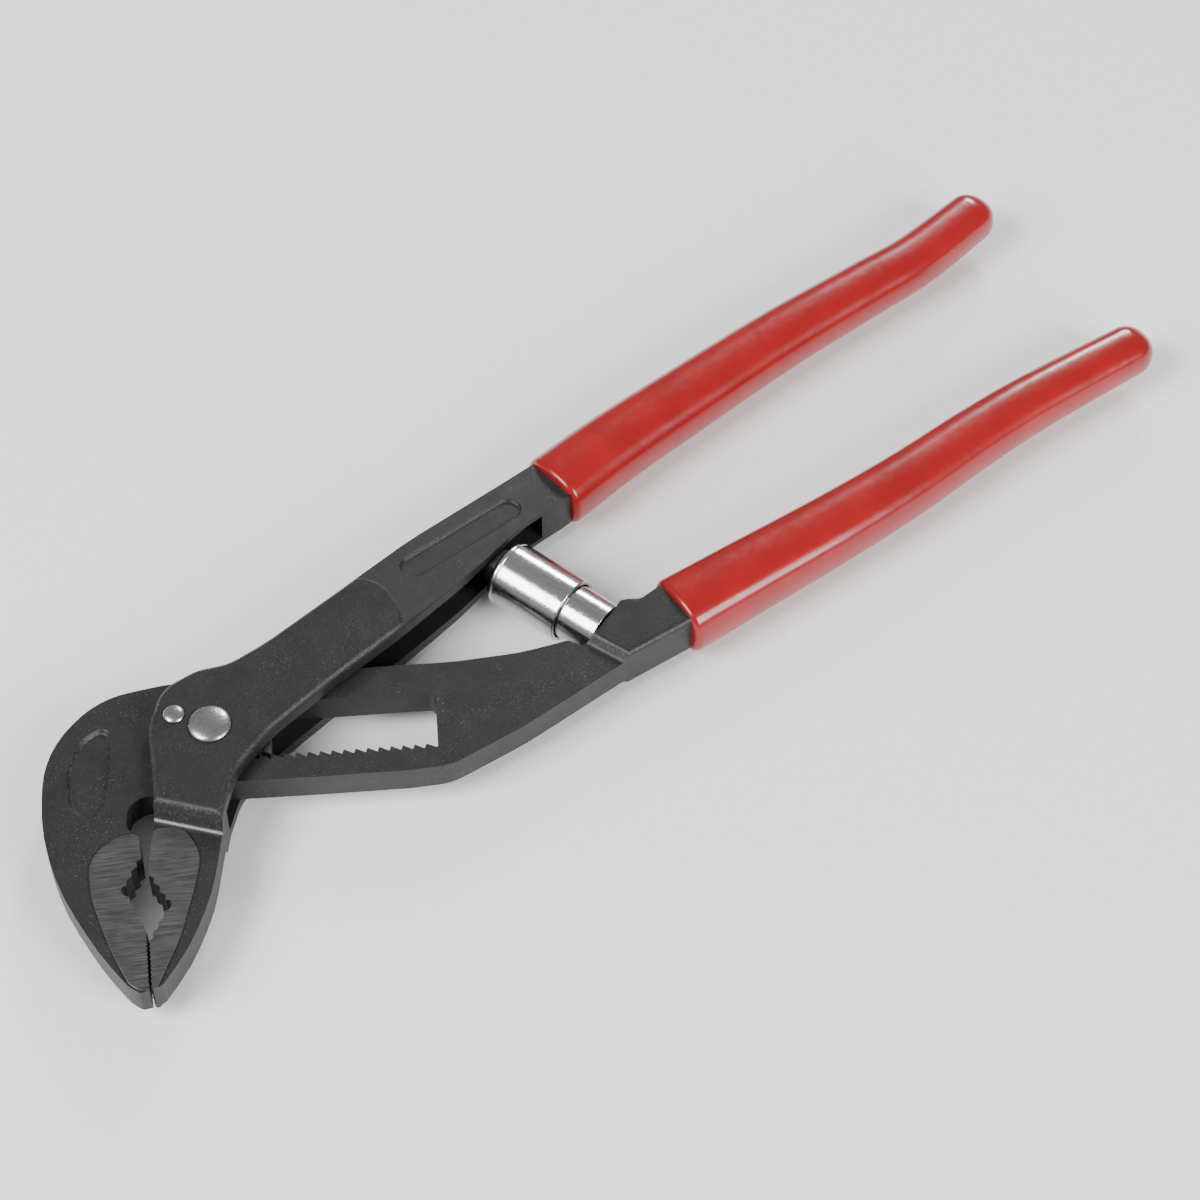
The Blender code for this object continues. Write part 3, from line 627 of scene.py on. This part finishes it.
def jaw_teeth(side, first_step, lower_steps):
    """A jaw's gripping corners from the throat to the tip, side +1 for the left jaw and -1 for the right.

    Three rising steps lead to a round notch, and falling steps lead back to the fine teeth.
    """
    corners = [(first_step - 4.6, 0.9, 0.5), (first_step, 0.55, 0.2)]
    depth, t = 0.55, first_step
    for _ in range(3):
        depth += 1.0
        corners += [(t + 0.55, depth, 0.45), (t + 1.75, depth - 0.12, 0.2)]
        t += STEP_PITCH
    notch = t + 0.6
    for degrees in (150, 110, 70, 30):
        angle = math.radians(degrees)
        corners.append((notch + 1.2 * math.cos(angle), depth - 0.1 + 1.1 * math.sin(angle), 0.9))
    t = notch + 1.5
    for step in range(lower_steps):
        depth = 3.0 * (1 - step / lower_steps)
        fall = 2.8 / lower_steps
        corners += [(t, depth, 0.2), (t + 1.35, depth - 0.1, 0.4), (t + STEP_PITCH, depth - fall, 0.2)]
        t += STEP_PITCH
    while t < -FINE_PITCH:
        phase = 1 if side > 0 else 0
        corners += [(t + 0.1, JAW_GAP + FINE_DEPTH * phase, 0),
                    (t + 0.1 + FINE_PITCH / 2, JAW_GAP + FINE_DEPTH * (1 - phase), 0)]
        t += FINE_PITCH
    corners.append((0.35, JAW_GAP, 0))
    return [(*on_jaw(t, w * side), radius) for t, w, radius in corners]


def outer_plan():
    """Plan outline of the outer lever, which runs on into its grip."""
    top = [(92.0, 21.0, 2), (84.2, 20.5, 20), (76, 19.5, 60), (54, 17.1, 60), (37.5, 14.1, 60),
           (18, 11.0, 30), (10, 10.6, 10), (4, 12.6, 8), (-3.5, 12.4, 8), (-10, 6.2, 12),
           (-13.2, -1.0, 30), (-16.3, -7.6, 20), (-18.6, -11.6, 1)]
    tip = [(-35.3, -41.7, 0.4), (-33.4, -41.6, 1.5)]
    back = [(-25.6, -37.5, 40), (-16.8, -30.0, 40), (-9.9, -21.2, 20), (-5.9, -16.1, 20), (-0.6, -10.9, 12),
            (9.0, -6.9, 20), (25.0, -3.4, 60), (41.0, -0.6, 40), (57.0, 3.0, 40), (75.0, 8.8, 30),
            (86.2, 9.6, 20), (92.0, 11.2, 2)]
    return rounded(top + jaw_teeth(-1, -22.8, 3) + tip + back)


def inner_plan():
    """Plan outline of the inner lever, which runs on into its grip."""
    top = [(96.0, -17.6, 2), (88.4, -17.9, 8), (84.2, -18.4, 1.5), (82.0, -17.2, 1.2), (80.6, -16.9, 0.9),
           (70.9, -20.9, 1.2), (69.4, -21.0, 1.2), (67.6, -18.4, 1.5), (58.5, -15.8, 40), (46.3, -10.4, 40),
           (37.7, -5.6, 40), (6.5, 10.8, 40), (-2.0, 15.0, 12), (-14.0, 19.0, 18), (-28.0, 13.7, 22),
           (-36.4, -0.5, 50), (-39.9, -14.0, 60), (-40.0, -29.6, 60), (-38.8, -38.6, 10)]
    tip = [(-37.6, -41.0, 1.2), (-36.0, -41.2, 0.4)]
    throat = [(-23.3, -9.2, 4), (-20.6, -5.2, 3.4), (-16.6, -4.8, 3.4), (-14.6, -7.4, 2), (-7.4, -7.9, 2)]
    bottom = [(13.4, -19.6, 30), (27.0, -27.0, 20), (34.0, -30.2, 12), (50.0, -30.4, 40), (74.0, -28.6, 30),
              (88.4, -28.6, 8), (96.0, -28.4, 2)]
    teeth = list(reversed(jaw_teeth(1, -26.6, 4)))
    return rounded(top + tip + teeth + throat + bottom)


def pad_plan(side):
    """Plan of a jaw's ground pad, open towards the teeth."""
    if side < 0:
        return rounded([(-18.6, -12.4, 1), (-14.2, -14.6, 6), (-14.2, -21.6, 8), (-18.4, -26.8, 30),
                        (-26.0, -34.9, 30), (-33.9, -41.2, 2), (-40, -47, 0), (-24.6, -14.0, 0)])
    return rounded([(-20.6, -11.9, 0), (-25.6, -9.9, 5), (-32.2, -11.2, 7), (-35.6, -18.5, 20),
                    (-38.0, -30.0, 60), (-38.6, -38.6, 6), (-37.4, -40.7, 2), (-33.0, -42.5, 0),
                    (-18.8, -14.0, 0)])


def rack_window():
    """The window in the inner lever, with saw teeth along its lower edge."""
    corners = [along_rack(WINDOW_LEFT, RACK_ROOT)]
    for k in range(-2, 19):
        start = k * RACK_PITCH
        corners += [along_rack(start, RACK_ROOT, 0.12), along_rack(start + TOOTH_RISE, RACK_TIP, 0.1)]
    corners += [along_rack(WINDOW_RIGHT - 0.1, RACK_ROOT, 0.3), along_rack(WINDOW_RIGHT, WINDOW_TOP, 1.4),
                along_rack(WINDOW_LEFT, WINDOW_TOP, 1.0)]
    return rounded(corners)


def box_slot():
    """Plan of the gap between the plates: the box joint and the slot along the arm."""
    return rounded([(79.4, -30, 0), (79.4, 14.8, 3), (64, 14.0, 20), (38, 9.8, 20), (14.6, 8.7, 1),
                    (11.4, 12.2, 1), (11.4, 22, 0), (-40, 22, 0), (-40, -9.0, 0), (-18.0, -9.0, 0),
                    (-10.4, -9.6, 2), (-5.8, -16.5, 3), (-4.2, -30, 0)])


def step_section(reach, slope, margin, high, foot_radius, head_radius):
    """Section of what is cut off beyond a step: flat at LEVER_HALF, then up a slope to the height high."""
    return [(reach, LEVER_HALF, 0), (0, LEVER_HALF, foot_radius), (-slope, high, head_radius),
            (-slope - margin, high + 0.04, 0), (-slope - margin, CLEAR, 0), (reach, CLEAR, 0)]


def lever_blank(name, outline, full_half, width, core_width, step_corners, step_at, step_run, pad):
    """A forging of two thicknesses with rounded rims, and ground pads left standing on the thin one."""
    sizes = bpy.context.scene.pliers_sizes
    blank = draw_prism(name, outline, -full_half, full_half)
    round_rims(blank, outline, width)
    slim = shifted(outline, -0.03)
    for sign, side in ((1, "front"), (-1, "rear")):
        tool = sweep_section(name + "_step_" + side, [(w, z * sign) for w, z in rounded(step_corners)],
                             step_at, step_run)
        core = draw_prism(name + "_core", slim, -LEVER_HALF, LEVER_HALF)
        round_rims(core, slim, core_width)
        carve(tool, core)
        raised = draw_prism(name + "_pad", pad, -PAD_HALF, PAD_HALF)
        chamfer_rims(raised, sizes.pad_chamfer / MM)
        carve(tool, raised)
        carve(blank, tool)
    return blank


def chamfer_rims(piece, width):
    """Take the sharp corner off a prism's upper and lower rims."""
    activate(piece)
    bpy.ops.object.mode_set(mode="EDIT")
    select_faces(lambda face: abs(face.normal.z) > 0.9)
    bpy.ops.mesh.bevel(offset=width * MM, segments=1, affect="EDGES")
    close_editing()


def mark_ground(piece, on_pad):
    """Give the pads' flat tops and chamfers the second material."""
    for face in piece.data.polygons:
        place = (face.center - RIVET) / MM
        if on_pad(place) and abs(place.z) > LEVER_HALF + 0.2 and abs(face.normal.z) > 0.5:
            face.material_index = 1


def drill(piece, place, radius, low, high, sides):
    """Cut a round hole square to the plates."""
    carve(piece, turn_piece("drill", [(0, high), (radius, high), (radius, low), (0, low)], at(*place),
                            UP, RIGHT, sides))


def outer_lever():
    sizes = bpy.context.scene.pliers_sizes
    step = step_section(60, JAW_STEP_SLOPE, 3, PLATE_OUT, 1.6, 1.8)
    lever = lever_blank("outer_lever_forging", outer_plan(), PLATE_OUT, sizes.plate_rim / MM,
                        sizes.lever_rim / MM, step, JAW_STEP_AT, JAW_STEP_RUN, pad_plan(-1))
    carve(lever, draw_prism("slot", box_slot(), -PLATE_IN, PLATE_IN))
    arm = rounded([(120, 45, 0), (30, 45, 0), (30.5, 17.6, 3), (43.7, 13.0, 9), (43.0, 2.0, 6),
                   (38.5, -4.0, 3), (36, -20, 0), (120, -20, 0)])
    fall = (ARM_OUT - ARM_END_HALF) / (ARM_END - ARM_START)
    for sign in (1, -1):
        tool = pocket_tool("arm_taper", arm, PLATE_OUT, PLATE_OUT - ARM_OUT, 0.45)
        slope_to(tool, lambda p: p.z < PLATE_OUT + 3, lambda x: -fall * max(0.0, x - ARM_START))
        if sign < 0:
            flip(tool)
        carve(lever, tool)
    oval = rounded([(48.4, 13.3, 2.6), (49.3, 8.3, 2.6), (77.2, 11.2, 2.6), (76.4, 16.2, 2.6)])
    tool = pocket_tool("oval", oval, ARM_OUT, OVAL_DEPTH, 0.4)
    slope_to(tool, lambda p: p.z < PLATE_OUT + 3, lambda x: -fall * (x - ARM_START))
    carve(lever, tool)
    drill(lever, (0, 0), SHANK_R + 0.1, -CLEAR, CLEAR, 32)
    drill(lever, PIN_AT, PIN_R + 0.05, -CLEAR, CLEAR, 24)
    for place, radius in (((0, 0), HEAD_R), (PIN_AT, PIN_HEAD_R)):
        drill(lever, place, radius + SEAT_GAP, PLATE_OUT - SEAT_DEPTH, CLEAR, 48)
        drill(lever, place, radius + SEAT_GAP, -CLEAR, SEAT_DEPTH - PLATE_OUT, 48)
    finish_piece(lever, "outer_half", ["outer_lever"],
                 [shared_material(blackened_steel), shared_material(ground_steel)])
    mark_ground(lever, lambda place: place.x < -12 and abs(place.z) < PAD_HALF + 0.1 and place.y < -11)
    return lever


def flip(piece):
    """Mirror a tool in the middle plane."""
    activate(piece)
    bpy.ops.object.mode_set(mode="EDIT")
    bpy.ops.mesh.select_all(action="SELECT")
    bpy.ops.transform.mirror(orient_type="GLOBAL", constraint_axis=(False, False, True),
                             center_override=RIVET)
    close_editing()


def inner_lever():
    sizes = bpy.context.scene.pliers_sizes
    step = step_section(200, LUG_STEP_SLOPE, 2, LUG_HALF, 1.2, 1.4)
    lever = lever_blank("inner_lever_forging", inner_plan(), LUG_HALF, sizes.lug_rim / MM,
                        sizes.lever_rim / MM, step, LUG_STEP_AT, LUG_STEP_RUN, pad_plan(1))
    carve(lever, draw_prism("window", rack_window(), -9, 9))
    leaf = rounded([(-15.0, 12.6, 1.5), (-17.4, 8.0, 10), (-23.8, -2.0, 20), (-27.2, -4.2, 2.2),
                    (-30.0, -0.4, 4), (-26.6, 7.4, 12), (-21.0, 12.6, 8)])
    carve(lever, pocket_tool("leaf", leaf, LEVER_HALF, LEAF_DEPTH, 0.5))
    along, top = strut_line()
    socket = turn_piece("socket", [(0, STRUT_LENGTH + 4), (SPIGOT_R + 0.1, STRUT_LENGTH + 4),
                                   (SPIGOT_R + 0.1, STRUT_LENGTH), (TUBE_R + 0.3, STRUT_LENGTH),
                                   (TUBE_R + 0.3, STRUT_LENGTH - 9), (0, STRUT_LENGTH - 9)],
                        top, along, UP, 48)
    carve(lever, socket)
    finish_piece(lever, "inner_half", ["inner_lever"],
                 [shared_material(blackened_steel), shared_material(ground_steel)])
    mark_ground(lever, lambda place: place.x < -12 and place.y < -9)
    return lever


# ---------------------------------------------------------------- hardware

def dome_corners(head_r, rise, base, shank):
    """Half of a rivet's section from the top of its head down to the middle plane."""
    corners = [(0.0, base + rise)]
    for k in range(1, 9):
        angle = math.pi / 2 * k / 8
        height = rise * math.cos(angle) ** 0.9 if k < 8 else EDGE_RISE
        corners.append((head_r * math.sin(angle), base + height))
    return corners + [(head_r * 0.985, base), (shank, base)]


def rivet(name, place, shank, head_r, rise, body, node):
    """A set rivet with a low dome on each side."""
    upper = dome_corners(head_r, rise, PLATE_OUT + HEAD_GAP, shank)
    profile = upper + [(radius, -height) for radius, height in reversed(upper)]
    piece = turn_piece(name, profile, at(*place), UP, RIGHT)
    finish_piece(piece, body, [node], [shared_material(set_steel)], 40)
    return piece


def strut_line():
    """The strut's direction, from its closed end to the lug, and the closed end's middle."""
    return Vector((math.cos(STRUT_ANGLE), math.sin(STRUT_ANGLE), 0)), at(*STRUT_TOP)


def strut_cup():
    """The bright cup: a drawn shell with a rounded shoulder, a rolled ring line and a thin lip."""
    along, top = strut_line()
    section = rounded([(2.2, 0, 0), (SLEEVE_R - 1.0, 0, 0.4), (SLEEVE_R, 0.9, 0.8), (SLEEVE_R, 1.4, 0.1),
                       (SLEEVE_R - 0.22, 1.6, 0.1), (SLEEVE_R, 1.85, 0.1), (SLEEVE_R, SLEEVE_LENGTH, 0.3),
                       (SLEEVE_BORE, SLEEVE_LENGTH, 0.15), (SLEEVE_BORE, 1.6, 0.4), (2.2, 1.6, 0)])
    piece = turn_piece("strut_cup", [(p.x, p.y) for p in section], top, along, UP, 96, True)
    finish_piece(piece, "strut", ["strut_sleeve"], [shared_material(plated_steel)], 40)


def strut_inner_tube():
    """The tube that stands in the lug and slides in the cup."""
    along, top = strut_line()
    end = STRUT_LENGTH - 0.05
    section = rounded([(TUBE_R, TUBE_TOP, 0.3), (TUBE_R, end, 0.1), (SPIGOT_R, end, 0),
                       (SPIGOT_R, end + 3.8, 0.2), (2.0, end + 3.8, 0), (2.0, end - 1.5, 0),
                       (TUBE_BORE, end - 1.5, 0.3), (TUBE_BORE, TUBE_TOP, 0.2)])
    piece = turn_piece("strut_plunger", [(p.x, p.y) for p in section], top, along, UP, 96, True)
    finish_piece(piece, "inner_half", ["strut_tube"], [shared_material(plated_steel)], 40)


# ---------------------------------------------------------------- grips

def grip_stations(axis, halves):
    """(place, half width) along a dipped grip: a rolled rim, a slow taper and a round end."""
    line = smooth_line(axis)
    lengths = [0.0]
    for first, second in zip(line, line[1:]):
        lengths.append(lengths[-1] + (second - first).length)
    total = lengths[-1]

    def place(s):
        index = min(max(sum(1 for value in lengths if value <= s) - 1, 0), len(line) - 2)
        share = (s - lengths[index]) / (lengths[index + 1] - lengths[index])
        return line[index].lerp(line[index + 1], share)

    def half(s):
        return halves[0] + (halves[1] - halves[0]) * s / total

    stations = [(place(0.0), half(0) - 2.2)]
    for k in range(0, 7):
        angle = math.pi / 2 * k / 6
        s = RIM_BEAD * (1 - math.cos(angle))
        stations.append((place(s + 0.01), half(s) - RIM_BEAD * (1 - math.sin(angle))))
    count = 60
    for k in range(1, count + 1):
        s = RIM_BEAD + (total - RIM_BEAD) * k / count
        stations.append((place(s), half(s)))
    ahead = (line[-1] - line[-2]).normalized()
    for k in range(1, 13):
        angle = math.pi / 2 * k / 12
        stations.append((line[-1] + ahead * halves[1] * END_LENGTH * math.sin(angle),
                         max(halves[1] * math.cos(angle), 0.02)))
    return stations


def grip(name, axis, halves, body, node):
    """A dipped sleeve: a rounded-box section drawn along the handle's line."""
    bpy.ops.object.select_all(action="DESELECT")
    bpy.ops.curve.primitive_bezier_circle_add(radius=MM)
    section = bpy.context.object
    section.data.resolution_u = 12
    for point in section.data.splines[0].bezier_points:
        point.handle_left_type = point.handle_right_type = "FREE"
        point.handle_left = point.co + (point.handle_left - point.co) * GRIP_SQUARENESS
        point.handle_right = point.co + (point.handle_right - point.co) * GRIP_SQUARENESS
        for handle in (point.co, point.handle_left, point.handle_right):
            handle.y *= GRIP_FLATNESS
    stations = grip_stations(axis, halves)
    bpy.ops.curve.primitive_nurbs_path_add()
    path = bpy.context.object
    path.name = path.data.name = name
    path.data.splines.clear()
    line = path.data.splines.new("POLY")
    line.points.add(len(stations) - 1)
    for point, (place, half) in zip(line.points, stations):
        point.co = (*at(*place), 1)
        point.radius = half
    path.data.twist_mode = "Z_UP"
    path.data.bevel_mode = "OBJECT"
    path.data.bevel_object = section
    path.data.use_fill_caps = True
    activate(path)
    bpy.ops.object.convert(target="MESH")
    piece = bpy.context.object
    bpy.data.objects.remove(section)
    bpy.ops.object.mode_set(mode="EDIT")
    bpy.ops.mesh.select_all(action="SELECT")
    bpy.ops.mesh.remove_doubles(threshold=MM * 0.02)
    close_editing()
    finish_piece(piece, body, [node], [shared_material(dipped_vinyl)], 60)
    return piece


# ---------------------------------------------------------------- stage

def lamp(name, energy, size, place):
    """A square soft box at a place, turned to face the tool."""
    bpy.ops.object.light_add(type="AREA", location=place)
    box = bpy.context.object
    box.name = name
    box.data.energy = energy
    box.data.size = size
    box.rotation_euler = (-Vector(place)).to_track_quat("-Z", "Y").to_euler()


def floor():
    """Matt pale backdrop paper."""
    finish = bpy.context.scene.pliers_finish
    bpy.ops.object.select_all(action="DESELECT")
    bpy.ops.mesh.primitive_plane_add(size=6, location=(0, 0, 0))
    sheet = bpy.context.object
    sheet.name = "backdrop"
    surface, tree, shader, coords = new_material("backdrop_paper", Roughness=0.9)
    shader.inputs["Specular IOR Level"].default_value = 0.1
    fibre = grain(tree, coords["Object"], 2.0, 3.0)
    tree.links.new(mix(tree, ramp(tree, fibre, 0.3, 0.7), finish.paper, linear("#ffffff")),
                   shader.inputs["Base Color"])
    sheet.data.materials.append(surface)


def camera():
    bpy.ops.object.camera_add(location=RIVET + Vector(CAMERA_AT), rotation=CAMERA_TURN)
    viewer = bpy.context.object
    viewer.data.lens = CAMERA_LENS
    viewer.data.sensor_width = 36
    viewer.data.clip_start = 0.01
    bpy.context.scene.camera = viewer


def lights():
    world = bpy.data.worlds.new("studio")
    world.use_nodes = True
    world.node_tree.nodes["Background"].inputs["Color"].default_value = (1, 1, 1, 1)
    world.node_tree.nodes["Background"].inputs["Strength"].default_value = 0.35
    bpy.context.scene.world = world
    lamp("left_box", 30, 0.8, (-1.1, 0.1, 1.1))
    lamp("front_box", 22, 0.7, (0.35, -1.2, 0.75))
    lamp("back_strip", 9, 0.3, (0.9, 0.9, 0.7))


# ---------------------------------------------------------------- add-on

class PliersSizes(bpy.types.PropertyGroup):
    """Edge sizes that change how heavy the forgings look"""
    plate_rim: FloatProperty(name="Plate rim", description="Rounding of the box joint's outer rims",
                             default=1.5 * MM, min=0.0, unit="LENGTH", precision=5)
    lever_rim: FloatProperty(name="Lever rim", description="Rounding of the inner lever's and jaws' rims",
                             default=1.1 * MM, min=0.0, unit="LENGTH", precision=5)
    lug_rim: FloatProperty(name="Lug rim", description="Rounding of the lug's rims",
                           default=1.2 * MM, min=0.0, unit="LENGTH", precision=5)
    pad_chamfer: FloatProperty(name="Pad chamfer", description="Width of the ground pads' bright edge",
                               default=0.14 * MM, min=0.0, unit="LENGTH", precision=5)


class PliersFinish(bpy.types.PropertyGroup):
    """Colours of the finishes"""
    coat: FloatVectorProperty(name="Coat", description="Blackened forging", subtype="COLOR", size=4,
                              default=linear("#1b1b1b"), min=0.0, max=1.0)
    ground: FloatVectorProperty(name="Ground steel", description="Jaw pads", subtype="COLOR", size=4,
                                default=linear("#606060"), min=0.0, max=1.0)
    plate: FloatVectorProperty(name="Plating", description="Strut", subtype="COLOR", size=4,
                               default=linear("#d6d6d6"), min=0.0, max=1.0)
    vinyl: FloatVectorProperty(name="Vinyl", description="Dipped grips", subtype="COLOR", size=4,
                               default=linear("#9c0b10"), min=0.0, max=1.0)
    paper: FloatVectorProperty(name="Paper", description="Backdrop", subtype="COLOR", size=4,
                               default=linear("#fbfbfb"), min=0.0, max=1.0)


class PLIERS_OT_levers(bpy.types.Operator):
    """Build the two forged levers with their jaws, rack and ground pads"""
    bl_idname = "pliers.levers"
    bl_label = "Levers"

    def execute(self, context):
        outer_lever()
        inner_lever()
        return {"FINISHED"}


class PLIERS_OT_rivets(bpy.types.Operator):
    """Build the main rivet and the stop pin"""
    bl_idname = "pliers.rivets"
    bl_label = "Rivets"

    def execute(self, context):
        rivet("set_main_rivet", (0, 0), SHANK_R, HEAD_R, HEAD_RISE, "rivet", "main_rivet")
        rivet("set_stop_pin", PIN_AT, PIN_R, PIN_HEAD_R, PIN_HEAD_RISE, "outer_half", "stop_pin")
        return {"FINISHED"}


class PLIERS_OT_strut(bpy.types.Operator):
    """Build the sprung strut's cup and tube"""
    bl_idname = "pliers.strut"
    bl_label = "Strut"

    def execute(self, context):
        strut_cup()
        strut_inner_tube()
        return {"FINISHED"}


class PLIERS_OT_hidden(bpy.types.Operator):
    """Give the working parts inside the joint and the strut their finishes"""
    bl_idname = "pliers.hidden"
    bl_label = "Working parts"

    def execute(self, context):
        finishes = {"pivot_bush": machined_steel, "ratchet_block": machined_steel,
                    "strut_foot": machined_steel, "block_spring": spring_wire,
                    "strut_spring": spring_wire, "tube_ring": acetal}
        for node, maker in finishes.items():
            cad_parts[node].data.materials.clear()
            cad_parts[node].data.materials.append(shared_material(maker))
        return {"FINISHED"}


class PLIERS_OT_grips(bpy.types.Operator):
    """Build the two dipped grips"""
    bl_idname = "pliers.grips"
    bl_label = "Grips"

    def execute(self, context):
        grip("outer_dipped_grip", OUTER_AXIS, OUTER_HALF, "outer_half", "outer_grip")
        grip("inner_dipped_grip", INNER_AXIS, INNER_HALF, "inner_half", "inner_grip")
        return {"FINISHED"}


class PLIERS_OT_stage(bpy.types.Operator):
    """Set the backdrop, the lights and the camera"""
    bl_idname = "pliers.stage"
    bl_label = "Stage"

    def execute(self, context):
        floor()
        lights()
        camera()
        return {"FINISHED"}


class PLIERS_PT_panel(bpy.types.Panel):
    """Lists the pieces in the order they are built"""
    bl_label = "Pliers"
    bl_idname = "PLIERS_PT_panel"
    bl_space_type = "VIEW_3D"
    bl_region_type = "UI"
    bl_category = "Pliers"

    def draw(self, context):
        for group in (context.scene.pliers_sizes, context.scene.pliers_finish):
            for name in group.__annotations__:
                self.layout.prop(group, name)
        for operator in OPERATORS:
            self.layout.operator(operator.bl_idname)


OPERATORS = (PLIERS_OT_levers, PLIERS_OT_rivets, PLIERS_OT_strut, PLIERS_OT_hidden, PLIERS_OT_grips,
             PLIERS_OT_stage)
CLASSES = (PliersSizes, PliersFinish, *OPERATORS, PLIERS_PT_panel)


def register():
    for item in CLASSES:
        bpy.utils.register_class(item)
    bpy.types.Scene.pliers_sizes = PointerProperty(type=PliersSizes)
    bpy.types.Scene.pliers_finish = PointerProperty(type=PliersFinish)


def unregister():
    del bpy.types.Scene.pliers_finish
    del bpy.types.Scene.pliers_sizes
    for item in reversed(CLASSES):
        bpy.utils.unregister_class(item)


def main():
    register()
    bpy.ops.pliers.levers()
    bpy.ops.pliers.rivets()
    bpy.ops.pliers.strut()
    bpy.ops.pliers.hidden()
    bpy.ops.pliers.grips()
    bpy.ops.pliers.stage()


if __name__ == "__main__":
    main()
